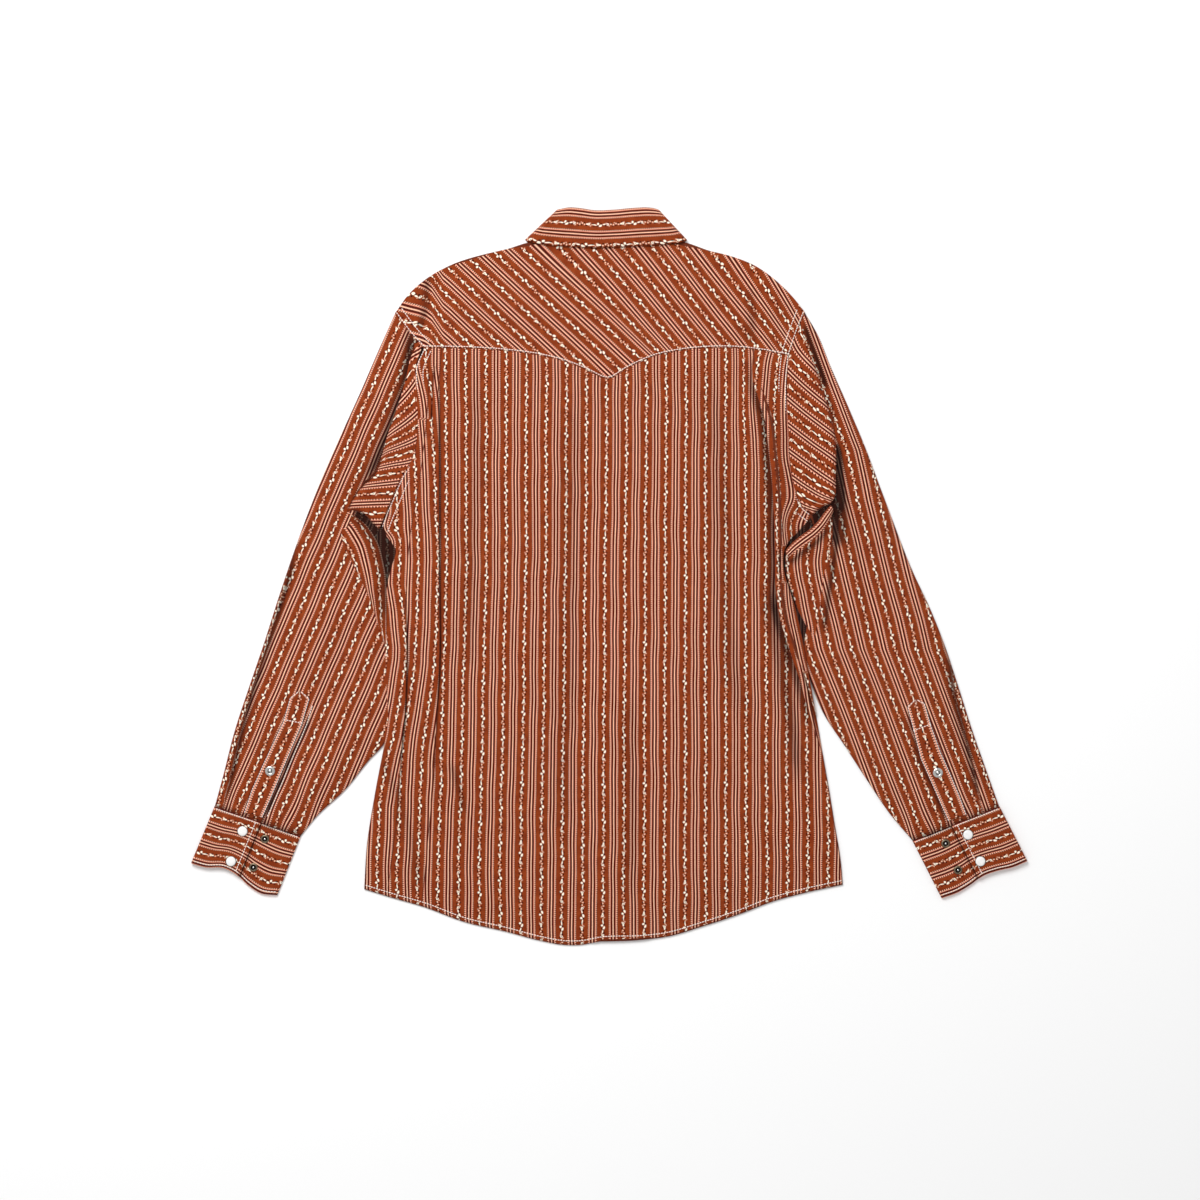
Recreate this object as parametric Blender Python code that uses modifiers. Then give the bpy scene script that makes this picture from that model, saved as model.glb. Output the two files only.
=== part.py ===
"""Western snap shirt, laid out flat face down with its sleeves a little apart.

Units: the tables below are in millimetres, the meshes in metres.
Frame: +Z up, +Y towards the collar, +X towards the wearer's right sleeve.  The origin lies
on the surface that the shirt rests on, under the middle of the whole outline.
"""
import math
from collections import namedtuple

import bmesh
import bpy
import numpy as np

MM = 0.001

# ---------------------------------------------------------------- driving sizes, millimetres
WALL = 1.2              # one layer of shirt cloth with its turned-in edges
CUFF_WALL = 1.8         # two layers with interlining
LAYER_GAP = 0.3         # free space between two layers that lie on each other
SEAM_GAP = 0.7          # free space in plan between two pieces that are sewn edge to edge
BODY_DOME = 2.6         # how far the back stands above its edges
DOME_REACH = 45.0       # distance from an edge at which the full dome is reached
SLEEVE_EDGE = 3.2       # height of a sleeve at its folded edges
SLEEVE_DOME = 2.4       # how far a sleeve's top stands above its folded edges
PLACKET_WIDTH = 34.0
PLACKET_TOP = 297.0
PLACKET_BOTTOM = -408.0
FRONT_SNAP_COUNT = 7
FRONT_SNAP_PITCH = 88.0
FRONT_SNAP_TOP = 262.0  # centre of the highest front snap
FRONT_SNAP_RADIUS = 6.0
CAP_RADIUS = 5.9        # pearl snap cap on a cuff
CAP_HEIGHT = 2.6
STUD_RADIUS = 4.9       # bare spare stud on a cuff
STUD_HEIGHT = 2.0
PLACKET_SNAP_RADIUS = 6.0
PLACKET_SNAP_HEIGHT = 1.8
YOKE_CORNERS = 3        # straight runs of the armhole seam along the yoke
ARMHOLE_CORNERS = 11    # and along the back
SIDE_CORNERS = 14       # straight runs of the body's side
SLEEVE_LEAVES = {"left": 8, "right": 7}  # the run of the side where a sleeve turns away
SLEEVE_ROWS = 22
SNAP_SIDES = 12         # facets round a snap cap or stud
HOLE_SIDES = 14         # facets round a hole in the placket
OUTLINE_STEPS = 400     # points to which an outline is refined before it is read at an x
EDGE_STEPS = 90         # and before distances to it are taken
FOLD_STEPS = 120        # points along a fold's path
FOLD_FADE = 0.15        # the share of its length over which a fold fades at each end

# ---------------------------------------------------------------- outlines, (x, y) in plan
NECK_TO_SHOULDER_LEFT = [(-78, 377), (-92, 374), (-118, 370), (-154, 359), (-192, 346), (-213, 332),
                         (-225, 321), (-242, 298)]
NECK_TO_SHOULDER_RIGHT = [(71, 377), (85, 374), (115, 368), (139, 362), (164, 352), (197, 327),
                          (215, 307), (221, 299)]
BACK_NECKLINE = [(-78, 377), (-50, 379), (-4, 379.5), (43, 379), (71, 377)]
FRONT_NECKLINE_LEFT = [(-78, 377), (-70, 345), (-48, 314), (-17.4, 299)]
FRONT_NECKLINE_RIGHT = [(71, 377), (63, 345), (42, 314), (16, 300), (-15, 298.5)]
YOKE_SEAM = [(-210, 259), (-155, 258), (-112, 255), (-77, 250), (-46, 242), (-26, 234),
             (-1, 224), (21, 236), (53, 250), (76, 255), (119, 259), (154, 258), (200, 246)]
YOKE_SIDE_LEFT = [(-242, 298), (-223, 273), (-210, 259)]
YOKE_SIDE_RIGHT = [(221, 299), (204, 270), (200, 246)]
ARMHOLE_LEFT = [(-210, 259), (-219, 236), (-218, 210), (-216, 175), (-219, 152), (-225, 126),
                (-232, 104), (-238, 82), (-241, 60)]
ARMHOLE_RIGHT = [(200, 246), (195, 227), (194, 192), (195, 158), (196, 123), (197.5, 95), (198, 62)]
SIDE_LEFT = [(-241, 60), (-244, 35), (-248, 10), (-252, -12), (-255, -41), (-255, -90),
             (-254, -128), (-250, -162), (-253, -182), (-264, -240), (-274, -304), (-277, -353)]
SIDE_RIGHT = [(198, 62), (199, 42), (200.5, 22), (203, 2), (211, -37), (216, -61), (222, -82),
              (229, -112), (235, -179), (248, -243), (254, -274), (262, -324), (264, -348)]
HEM = [(-277, -353), (-248, -362), (-210, -373), (-164, -390), (-117, -401), (-79, -411),
       (-51, -416), (-32, -416), (-10, -412), (39, -410), (64, -407), (106, -395),
       (151, -380), (182, -368), (222, -357), (264, -348)]
SLEEVE_OUTER_LEFT = [(-242, 298), (-263, 251), (-283, 205), (-303, 161), (-334, 89), (-353, 38),
                     (-376, -30), (-389, -71), (-407, -124), (-424, -176), (-436, -223),
                     (-445, -258)]
FOREARM_INNER_LEFT = [(-257, -190), (-273, -209), (-298, -240), (-331, -271), (-349, -291.5)]
SLEEVE_OUTER_RIGHT = [(221, 299), (234, 277), (251, 236), (269, 195), (288, 150), (311, 89),
                      (345, 2), (362, -34), (377, -71), (396, -128), (410, -172), (425, -215),
                      (440, -258)]
FOREARM_INNER_RIGHT = [(246, -159), (267, -192), (293, -232), (316, -266), (343, -297)]

YOKE_TIP = (YOKE_SEAM[6][0] - YOKE_SEAM[0][0]) / (YOKE_SEAM[-1][0] - YOKE_SEAM[0][0])

# ---------------------------------------------------------------- folds
# rise: height of the crest above the cloth around it, below zero for a valley.
# left, right: how far it fades out to either side of its path, seen in the path's direction.
Fold = namedtuple("Fold", "name rise left right path")
BODY_FOLDS = [
    Fold("left crease by the armhole", 3.4, 3, 16, [(-193, 240), (-192, 120), (-192, 0),
                                                   (-192, -102), (-195, -154), (-197, -215)]),
    Fold("left crease by the side", 3.0, 3, 12, [(-229, 0), (-229, -60), (-229, -102),
                                                (-233, -175), (-238, -262)]),
    Fold("right deep fold", -3.6, 9, 4, [(160, 255), (170, 205), (176, 170), (178, 125),
                                         (181, 60), (184, 0), (193, -48), (208, -104),
                                         (222, -168), (233, -215)]),
    Fold("right crest beside the fold", 4.2, 7, 9, [(176, 190), (184, 140), (189, 90), (192, 20),
                                                   (200, -40), (214, -100), (229, -170),
                                                   (240, -240)]),
    Fold("soft swell left of the fold", 2.4, 26, 20, [(135, 235), (150, 150), (158, 40),
                                                     (168, -60), (192, -150), (210, -230)]),
    Fold("shallow valley left of the middle", -1.2, 24, 24, [(-45, 190), (-48, 60), (-46, -90),
                                                            (-52, -230)]),
    Fold("soft swell right of the middle", 1.0, 40, 40, [(60, 160), (64, 0), (62, -200)]),
    Fold("yoke swell left", 1.4, 30, 30, [(-190, 325), (-120, 310), (-70, 290)]),
    Fold("yoke swell right", 1.8, 20, 24, [(185, 315), (150, 290), (118, 262)]),
    Fold("pinch by the hem", 1.0, 8, 8, [(-182, -222), (-172, -240), (-168, -262)]),
]
LEFT_SLEEVE_FOLDS = [
    Fold("underarm part", 5.5, 22, 34, [(-228, 222), (-246, 165), (-262, 118), (-276, 86)]),
    Fold("valley under the underarm part", -3.6, 5, 9, [(-226, 250), (-233, 205), (-254, 150),
                                                       (-281, 100), (-302, 58)]),
    Fold("lip of the underarm pocket", 6.0, 7, 14, [(-309, 40), (-302, 62), (-290, 76),
                                                   (-275, 71), (-262, 58)]),
    Fold("hollow of the pocket", -4.0, 8, 8, [(-290, 60), (-276, 50), (-262, 34), (-256, 14)]),
    Fold("tongue edge", 4.6, 12, 3, [(-304, 46), (-294, 17), (-281, -12), (-270, -36),
                                     (-259, -68)]),
    Fold("crest along the forearm", 3.0, 14, 24, [(-345, -6), (-360, -60), (-385, -125),
                                                 (-405, -190), (-420, -235)]),
    Fold("pleat valley by the outer edge", -2.4, 8, 5, [(-360, -9), (-367, -24), (-382, -69),
                                                       (-407, -145), (-418, -187), (-432, -250)]),
    Fold("crest by the inner edge", 1.8, 14, 12, [(-288, -60), (-300, -130), (-330, -200),
                                                 (-352, -245)]),
    Fold("upper arm swell", 2.4, 16, 16, [(-262, 225), (-290, 160), (-318, 90), (-334, 40)]),
]
RIGHT_SLEEVE_FOLDS = [
    Fold("underarm part's edge", 6.0, 4, 22, [(214, 270), (231, 246), (243, 211), (254, 167),
                                              (256, 120), (256, 92), (261, 66), (270, 38)]),
    Fold("cavity beside that edge", -3.4, 10, 4, [(257, 170), (263, 132), (267, 100), (277, 62),
                                                 (289, 6), (297, -40), (303, -80)]),
    Fold("second crease", -3.0, 7, 7, [(222, 140), (235, 120), (242, 92), (250, 75)]),
    Fold("rim of the pocket", 6.0, 9, 6, [(204, 31), (222, 48), (240, 62), (254, 84)]),
    Fold("hollow of the pocket", -3.6, 7, 7, [(206, 42), (222, 58), (238, 76)]),
    Fold("tongue", 4.6, 12, 12, [(214, 30), (226, 4), (234, -30), (238, -60)]),
    Fold("hollow beside the tongue", -3.0, 6, 6, [(208, 5), (219, -30), (226, -64), (228, -96)]),
    Fold("crest along the forearm", 3.0, 22, 14, [(318, -20), (338, -80), (362, -140),
                                                 (390, -205), (408, -242)]),
    Fold("pleat valley by the outer edge", -2.4, 5, 8, [(377, -120), (390, -159), (404, -188),
                                                       (417, -233), (426, -256)]),
    Fold("crest by the inner edge", 1.8, 12, 14, [(262, -80), (280, -140), (312, -205),
                                                 (334, -245)]),
    Fold("upper arm swell", 2.4, 14, 14, [(250, 216), (276, 150), (300, 80), (318, 24)]),
]

# ---------------------------------------------------------------- collar, one row a station
# fold_x, fold_y: on the folded top edge.  edge_x, edge_y: on the free lower edge.
# height: of the middle of the leaf's thickness.
Band = namedtuple("Band", "fold_x fold_y edge_x edge_y height")
COLLAR_LEAF = [
    Band(-14, 330, -57, 268, 0.6), Band(-34, 352, -78, 318, 0.6), Band(-50, 384, -90, 352, 0.6),
    Band(-56.5, 408, -90, 375.8, 0.6), Band(-59, 412, -93.2, 379.2, 1.6),
    Band(-60, 413.5, -94.8, 380.6, 3.6), Band(-58.5, 414.5, -92.5, 379.6, 5.6),
    Band(-54, 415.5, -86, 377.5, 6.6),
    Band(-46, 417, -66, 374.5, 6.9), Band(-31, 416, -44, 373, 7.0), Band(-18, 414, -20, 372, 7.0),
    Band(4, 414.4, 8, 372.6, 7.0), Band(28, 416.5, 36, 374, 7.0), Band(44, 417, 60, 375.5, 6.9),
    Band(51, 416, 79, 377.5, 6.6), Band(55.5, 414.5, 85.5, 379.6, 5.6),
    Band(57, 413.5, 87.8, 380.6, 3.6), Band(56, 412, 86.2, 379.2, 1.6),
    Band(53.5, 408, 83, 375.8, 0.6), Band(47, 384, 83, 352, 0.6),
    Band(34, 352, 76, 318, 0.6), Band(14, 330, 57, 268, 0.6),
]
# The stand: fold is its top edge inside the leaf, edge is its lower edge at the neck seam.
COLLAR_STAND = [
    Band(-0.6, 328, -0.6, 302.0, 2.1), Band(-14, 330, -15.5, 303.6, 2.1),
    Band(-29, 345, -43.5, 318.4, 2.1), Band(-41, 374, -65.0, 347, 2.1),
    Band(-46, 392, -72.0, 372, 2.1), Band(-48, 398, -74.0, 380.2, 2.4),
    Band(-49, 400, -75.5, 383.0, 3.3), Band(-48, 402, -74, 384.6, 4.2),
    Band(-44, 407, -66, 385.0, 4.5), Band(-20, 407, -24, 385.2, 4.5), Band(6, 407, 8, 385.2, 4.5),
    Band(38, 407, 57, 385.0, 4.5), Band(41, 402, 67, 385.6, 4.2), Band(42, 400, 68.6, 384.2, 3.3),
    Band(41, 398, 67.2, 381.6, 2.4), Band(39, 392, 65.0, 372, 2.1), Band(35, 374, 58.0, 347, 2.1),
    Band(25, 345, 37.5, 318.4, 2.1), Band(14, 330, 14.5, 304, 2.1), Band(0.6, 328, 0.6, 302.6, 2.1),
]

# ---------------------------------------------------------------- cuffs and sleeve plackets
# Corners in plan: outer and inner end of the seam with the sleeve, then of the free edge.
Cuff = namedtuple("Cuff", "seam_outer seam_inner free_outer free_inner overlap")
CUFFS = {
    "left": Cuff((-445.3, -259), (-349, -292.5), (-472, -323.5), (-375.5, -359.5), 0.54),
    "right": Cuff((440.3, -259), (343, -298), (472, -321), (376, -363), 0.55),
}
CUFF_WAVE = [0.0, 3.2, 3.0, -1.0, -4.2, -2.5, 0.0]  # how far the free edge bows, outer to inner
CAPS = {"left": [(-414, -287), (-427, -321)], "right": [(405, -291), (419, -321)]}
STUDS = {"left": [(-389, -296), (-402, -328)], "right": [(380, -301), (394, -331)]}
PLACKET_SNAPS = {"left": (-383, -219), "right": (371, -221)}
# slit_x, slit_y: on the edge at the sleeve's opening.  sewn_x, sewn_y: on the far edge.
Strip = namedtuple("Strip", "slit_x slit_y sewn_x sewn_y")
SLEEVE_PLACKETS = {
    "left": [Strip(-343, -133, -348, -132), Strip(-338, -143, -357, -136),
             Strip(-348, -167, -366, -161), Strip(-360, -196, -380, -188),
             Strip(-370, -220, -392, -212), Strip(-382, -250, -404, -240),
             Strip(-392, -270, -413, -262)],
    "right": [Strip(342, -140.5, 346, -139.5), Strip(338, -147, 352, -143),
              Strip(345, -174, 361, -166), Strip(352, -206, 374, -197),
              Strip(364, -233, 386, -224), Strip(374, -256, 395, -246),
              Strip(382, -272, 402, -263)],
}

# ---------------------------------------------------------------- materials
COTTON = ("printed cotton", (0.36, 0.13, 0.07), 0.85, 0.0)
PEARL = ("pearl snap cap", (0.82, 0.80, 0.77), 0.25, 0.0)
GUNMETAL = ("dark plated brass", (0.16, 0.15, 0.15), 0.35, 1.0)
STEEL = ("nickel plated brass", (0.62, 0.61, 0.60), 0.3, 1.0)


# ---------------------------------------------------------------- curves and heights
def smooth(table, at):
    """Points on a cubic curve through the table, at fractions of its length."""
    points = np.array(table, dtype=float)
    at = np.asarray(at, dtype=float)
    reach = np.concatenate([[0.0], np.cumsum(np.linalg.norm(np.diff(points, axis=0), axis=1))])
    reach /= reach[-1]
    slope = np.gradient(points, reach, axis=0)
    span = np.clip(np.searchsorted(reach, at, side="right") - 1, 0, len(reach) - 2)
    length = (reach[span + 1] - reach[span])[:, None]
    t = (at - reach[span])[:, None] / length
    start, end = points[span], points[span + 1]
    return ((2 * t**3 - 3 * t**2 + 1) * start + (t**3 - 2 * t**2 + t) * length * slope[span]
            + (3 * t**2 - 2 * t**3) * end + (t**3 - t**2) * length * slope[span + 1])


def smoothstep(value):
    value = np.clip(value, 0.0, 1.0)
    return value * value * (3 - 2 * value)


def read_across(table, first_x, last_x, fractions):
    """Points of an outline at given fractions of the way in x from one place to another."""
    fine = smooth(table, np.linspace(0, 1, OUTLINE_STEPS))
    fine = fine[np.argsort(fine[:, 0])]
    x = first_x + (last_x - first_x) * np.asarray(fractions)
    return np.column_stack([x, np.interp(x, fine[:, 0], fine[:, 1])])


def distance_to(x, y, *tables):
    """Distance in plan from each point to the nearest of some outlines."""
    border = np.vstack([smooth(table, np.linspace(0, 1, EDGE_STEPS)) for table in tables])
    gap = np.hypot(x[..., None] - border[:, 0], y[..., None] - border[:, 1])
    return gap.min(axis=-1)


def folded(x, y, folds):
    """Sum of the folds' heights: each a bell across its path that fades at both ends."""
    total = np.zeros_like(x)
    steps = np.linspace(0, 1, FOLD_STEPS)
    for fold in folds:
        path = smooth(fold.path, steps)
        ahead = np.gradient(path, axis=0)
        dx = x[..., None] - path[:, 0]
        dy = y[..., None] - path[:, 1]
        gap = np.hypot(dx, dy)
        near = gap.argmin(axis=-1)
        side = np.take_along_axis(ahead[:, 0] * dy - ahead[:, 1] * dx, near[..., None], -1)
        gap = np.take_along_axis(gap, near[..., None], -1)[..., 0]
        width = np.where(side[..., 0] > 0, fold.left, fold.right)
        along = steps[near]
        ends = smoothstep(along / FOLD_FADE) * smoothstep((1 - along) / FOLD_FADE)
        total += fold.rise * np.exp(-(gap / width) ** 2) * ends
    return total


def front_lift(x, y, over_placket=True):
    """Underside of the fronts: flat, one layer up over the collar points and the placket."""
    layer = WALL + LAYER_GAP
    collar = smoothstep((y - 212) / 14) * smoothstep((150 - np.abs(x)) / 14)
    placket = smoothstep((52 - x) / 14) * smoothstep((x + 19) / 2) if over_placket else 0.0
    return layer * np.maximum(collar, placket)


def room_for_fronts(x, y):
    """Highest that the fronts' top reaches within one cell of the back's grid, with a gap."""
    near = [front_lift(x + dx, y + dy) for dx in (-40, -20, 0, 20, 40) for dy in (-25, 0, 25)]
    return np.max(near, axis=0) + 2 * WALL + LAYER_GAP


def body_height(x, y):
    """Top of the back and yoke: a low dome with folds, never below the fronts."""
    edge = distance_to(x, y, NECK_TO_SHOULDER_LEFT, NECK_TO_SHOULDER_RIGHT, YOKE_SIDE_LEFT,
                       YOKE_SIDE_RIGHT, ARMHOLE_LEFT, ARMHOLE_RIGHT, SIDE_LEFT, SIDE_RIGHT, HEM)
    dome = 2 * WALL + LAYER_GAP + BODY_DOME * smoothstep(edge / DOME_REACH)
    height = dome + folded(x, y, BODY_FOLDS) * smoothstep(edge / 8)
    return np.maximum(height, room_for_fronts(x, y))


def sleeve_height(x, y, side, folds):
    """Top of a sleeve: its folded edges, a low dome between them, and its folds."""
    edge = distance_to(x, y, *sleeve_edges(side))
    dome = SLEEVE_EDGE + SLEEVE_DOME * smoothstep(edge / 24)
    height = dome + folded(x, y, folds) * smoothstep(edge / 6)
    return np.maximum(height, 2 * WALL + 2 * LAYER_GAP)


# ---------------------------------------------------------------- meshes
def add_object(name, mesh, finish, collection):
    """Link a mesh as a named object with its own material, shaded smooth."""
    label, colour, roughness, metallic = finish
    material = bpy.data.materials.new(name + " " + label)
    material.use_nodes = True
    shader = material.node_tree.nodes["Principled BSDF"]
    shader.inputs["Base Color"].default_value = (*colour, 1.0)
    shader.inputs["Roughness"].default_value = roughness
    shader.inputs["Metallic"].default_value = metallic
    mesh.materials.append(material)
    mesh.shade_smooth()
    mesh.set_sharp_from_angle(angle=math.radians(40))
    part = bpy.data.objects.new(name, mesh)
    collection.objects.link(part)
    return part


def sheet_object(name, grid, thickness, offset, finish, collection, closed=False):
    """An open surface through a grid of points (rows, columns, xyz), thickened by Solidify.

    offset 1 keeps the surface as the outer face, 0 puts it in the middle of the wall."""
    rows, columns = grid.shape[:2]
    mesh = bpy.data.meshes.new(name)
    index = np.arange(rows * columns).reshape(rows, columns)
    if closed:
        index = np.hstack([index, index[:, :1]])
    faces = np.stack([index[:-1, :-1], index[1:, :-1], index[1:, 1:], index[:-1, 1:]], axis=-1)
    mesh.from_pydata((grid.reshape(-1, 3) * MM).tolist(), [], faces.reshape(-1, 4).tolist())
    part = add_object(name, mesh, finish, collection)
    wall = part.modifiers.new("wall", "SOLIDIFY")
    wall.thickness = thickness * MM
    wall.offset = -offset
    return part


def patch(top, bottom, left, right, u, v):
    """Grid in plan between four border curves, sampled at fractions u across and v down."""
    u, v = np.asarray(u)[None, :, None], np.asarray(v)[:, None, None]
    corners = ((1 - v) * ((1 - u) * top[0] + u * top[-1])
               + v * ((1 - u) * bottom[0] + u * bottom[-1]))
    return ((1 - v) * top[None] + v * bottom[None]
            + (1 - u) * left[:, None] + u * right[:, None] - corners)


def along(points, index):
    """Points at places between the corners of a polyline, counted in corners."""
    count = np.arange(len(points))
    return np.column_stack([np.interp(index, count, points[:, k]) for k in range(2)])


def armhole_corners(side):
    """Corners of the armhole seam, shoulder to underarm, that every piece there shares."""
    yoke, armhole = ((YOKE_SIDE_LEFT, ARMHOLE_LEFT) if side == "left"
                     else (YOKE_SIDE_RIGHT, ARMHOLE_RIGHT))
    return np.vstack([smooth(yoke, np.linspace(0, 1, YOKE_CORNERS + 1)),
                      smooth(armhole, np.linspace(0, 1, ARMHOLE_CORNERS + 1))[1:]])


def side_corners(side):
    """Corners of the body's edge, underarm to hem, that every piece there shares."""
    return smooth(SIDE_LEFT if side == "left" else SIDE_RIGHT, np.linspace(0, 1, SIDE_CORNERS + 1))


def lifted(plan, height):
    return np.dstack([plan[..., 0], plan[..., 1], height])


def lathe(name, profile, sides, place, finish, collection):
    """A turned piece: a profile of (radius, height), top to bottom, round a vertical axis."""
    mesh = bpy.data.meshes.new(name)
    points = [(radius * MM, 0.0, height * MM) for radius, height in profile]
    mesh.from_pydata(points, [(k, k + 1) for k in range(len(points) - 1)], [])
    part = add_object(name, mesh, finish, collection)
    turn = part.modifiers.new("turn", "SCREW")
    turn.steps = turn.render_steps = sides
    turn.use_merge_vertices = True
    turn.merge_threshold = 0.00005
    part.location = (place[0] * MM, place[1] * MM, place[2] * MM)
    return part


# ---------------------------------------------------------------- the shirt's pieces
def make_back(collection):
    across = np.concatenate([np.linspace(0, 0.17, 8), np.linspace(0.23, YOKE_TIP, 5),
                             np.linspace(YOKE_TIP, 0.84, 6)[1:], np.linspace(0.865, 1, 7)])
    top = read_across(YOKE_SEAM, YOKE_SEAM[0][0], YOKE_SEAM[-1][0], across)
    bottom = read_across(HEM, HEM[0][0], HEM[-1][0], across)
    left, right = [np.vstack([armhole_corners(side)[YOKE_CORNERS:], side_corners(side)[1:]])
                   for side in ("left", "right")]
    plan = patch(top, bottom, left, right, across, np.linspace(0, 1, len(left)))
    return sheet_object("back", lifted(plan, body_height(plan[..., 0], plan[..., 1])),
                        WALL, 1, COTTON, collection)


def make_yoke(collection):
    across = np.concatenate([np.linspace(0, YOKE_TIP, 12), np.linspace(YOKE_TIP, 1, 12)[1:]])
    outline = NECK_TO_SHOULDER_LEFT[::-1] + BACK_NECKLINE[1:-1] + NECK_TO_SHOULDER_RIGHT
    top = read_across(outline, outline[0][0], outline[-1][0], across)
    bottom = read_across(YOKE_SEAM, YOKE_SEAM[0][0], YOKE_SEAM[-1][0], across)
    bottom[:, 1] += SEAM_GAP
    rows = np.linspace(0, 1, 2 * YOKE_CORNERS + 1)
    left, right = [along(armhole_corners(side), rows * YOKE_CORNERS) for side in ("left", "right")]
    left[:, 1] += SEAM_GAP * rows
    right[:, 1] += SEAM_GAP * rows
    plan = patch(top, bottom, left, right, across, rows)
    height = np.minimum(body_height(plan[..., 0], plan[..., 1]), yoke_ceiling(plan))
    return sheet_object("back_yoke", lifted(plan, height), WALL, 1, COTTON, collection)


def yoke_ceiling(plan):
    """The yoke passes under the collar leaf, so it is held down beside the neckline."""
    low = 3 * WALL + 3 * LAYER_GAP
    under_leaf = smoothstep((plan[..., 1] - 346) / 12) * smoothstep((118 - np.abs(plan[..., 0])) / 12)
    return 40 - (40 - low) * under_leaf


def make_front(side, collection):
    """One front, flat on the surface but for the layers that it crosses."""
    if side == "left":
        shoulder, neck = NECK_TO_SHOULDER_LEFT[::-1], FRONT_NECKLINE_LEFT
        centre, across = -PLACKET_WIDTH / 2 - LAYER_GAP, [0, 0.2, 0.42, 0.55, 0.65, 0.72, 0.85, 1]
    else:
        shoulder, neck = NECK_TO_SHOULDER_RIGHT[::-1], FRONT_NECKLINE_RIGHT
        centre, across = -PLACKET_WIDTH / 2 + 2, [0, 0.2, 0.4, 0.52, 0.65, 0.76, 0.82, 0.86, 1]
    corner = across.index(0.65 if side == "left" else 0.52)
    on_neck = (np.array(across[corner:]) - across[corner]) / (1 - across[corner])
    top = np.vstack([smooth(shoulder, np.linspace(0, 1, corner + 1)),
                     read_across(neck, neck[0][0], centre, on_neck)[1:]])
    outer = np.vstack([armhole_corners(side), side_corners(side)[1:]])
    bottom = read_across(HEM, outer[-1, 0], centre, across)
    rows = np.linspace(0, 1, len(outer))
    inner = np.column_stack([np.full(len(outer), centre),
                             top[-1, 1] * (1 - rows) + bottom[-1, 1] * rows])
    top[-1, 0] = centre
    plan = patch(top, bottom, outer, inner, across, rows)
    if side == "right":
        plan = plan[:, ::-1]
    height = front_lift(plan[..., 0], plan[..., 1], over_placket=side == "right") + WALL
    return sheet_object("front_" + side, lifted(plan, height), WALL, 1, COTTON, collection)


def make_front_placket(collection):
    """A flat strip with a round hole for each snap cap."""
    outline = bpy.data.curves.new("front_placket", "CURVE")
    outline.dimensions = "2D"
    outline.fill_mode = "BOTH"
    outline.extrude = WALL / 2 * MM
    half = PLACKET_WIDTH / 2
    border = [(-half, PLACKET_BOTTOM), (half, PLACKET_BOTTOM),
              (half, PLACKET_TOP), (-half, PLACKET_TOP)]
    holes = [ring(0.0, y, FRONT_SNAP_RADIUS + LAYER_GAP, HOLE_SIDES) for y in front_snap_heights()]
    for points in [border] + holes:
        spline = outline.splines.new("POLY")
        spline.points.add(len(points) - 1)
        for point, (x, y) in zip(spline.points, points):
            point.co = (x * MM, y * MM, 0.0, 1.0)
        spline.use_cyclic_u = True
    guide = bpy.data.objects.new("front_placket_outline", outline)
    collection.objects.link(guide)
    guide.location.z = WALL / 2 * MM
    bpy.context.view_layer.update()
    evaluated = guide.evaluated_get(bpy.context.evaluated_depsgraph_get())
    mesh = bpy.data.meshes.new_from_object(evaluated)
    shape = bmesh.new()
    shape.from_mesh(mesh)
    bmesh.ops.remove_doubles(shape, verts=shape.verts, dist=0.00001)
    shape.to_mesh(mesh)
    shape.free()
    part = add_object("front_placket", mesh, COTTON, collection)
    part.matrix_world = guide.matrix_world.copy()
    bpy.data.objects.remove(guide)
    return part


def front_snap_heights():
    return [FRONT_SNAP_TOP - FRONT_SNAP_PITCH * k for k in range(FRONT_SNAP_COUNT)]


def ring(x, y, radius, sides):
    return [(x + radius * math.cos(2 * math.pi * k / sides),
             y + radius * math.sin(2 * math.pi * k / sides)) for k in range(sides)]


def make_front_snaps(collection):
    profile = [(0, WALL), (FRONT_SNAP_RADIUS - 0.2, WALL), (FRONT_SNAP_RADIUS, WALL - 0.3),
               (FRONT_SNAP_RADIUS, 0.3), (FRONT_SNAP_RADIUS - 0.3, 0), (0, 0)]
    for k, y in enumerate(front_snap_heights()):
        lathe("front_snap_%d" % (k + 1), profile, SNAP_SIDES, (0, y, 0), PEARL, collection)


def band_grid(rows, stations, across):
    """A ruled strip: rows of (two plan points, height), read smoothly along the strip."""
    table = smooth([tuple(row) for row in rows], np.linspace(0, 1, stations))
    w = np.linspace(0, 1, across)[None, :, None]
    start = table[:, None, [0, 1, 4]]
    end = table[:, None, [2, 3, 4]]
    return start * (1 - w) + end * w


def make_collar(collection):
    leaf = band_grid(COLLAR_LEAF, 50, 4)
    swell = np.sin(np.linspace(0, np.pi, 4))[None] * smoothstep((leaf[..., 2] - 5) / 1.5)
    leaf[..., 2] = np.maximum(leaf[..., 2] + 0.9 * swell, WALL / 2)
    sheet_object("collar_leaf", leaf, WALL, 0, COTTON, collection)
    stand = band_grid(COLLAR_STAND, 44, 3)
    sheet_object("collar_stand", stand, WALL, 0, COTTON, collection)


def sleeve_edges(side):
    """Outer and inner edge of a sleeve, a point for each row from armhole to cuff.

    Down to where the sleeve leaves the body its inner edge keeps the body's corners."""
    outer = SLEEVE_OUTER_LEFT if side == "left" else SLEEVE_OUTER_RIGHT
    forearm = FOREARM_INNER_LEFT if side == "left" else FOREARM_INNER_RIGHT
    beside = along(side_corners(side), np.arange(0, 2 * SLEEVE_LEAVES[side] + 1) / 2)
    free = smooth([tuple(beside[-1])] + forearm, np.linspace(0, 1, SLEEVE_ROWS + 2 - len(beside)))
    inner = np.vstack([beside, free[1:]])
    return smooth(outer, np.linspace(0, 1, SLEEVE_ROWS + 1)), inner


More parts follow.
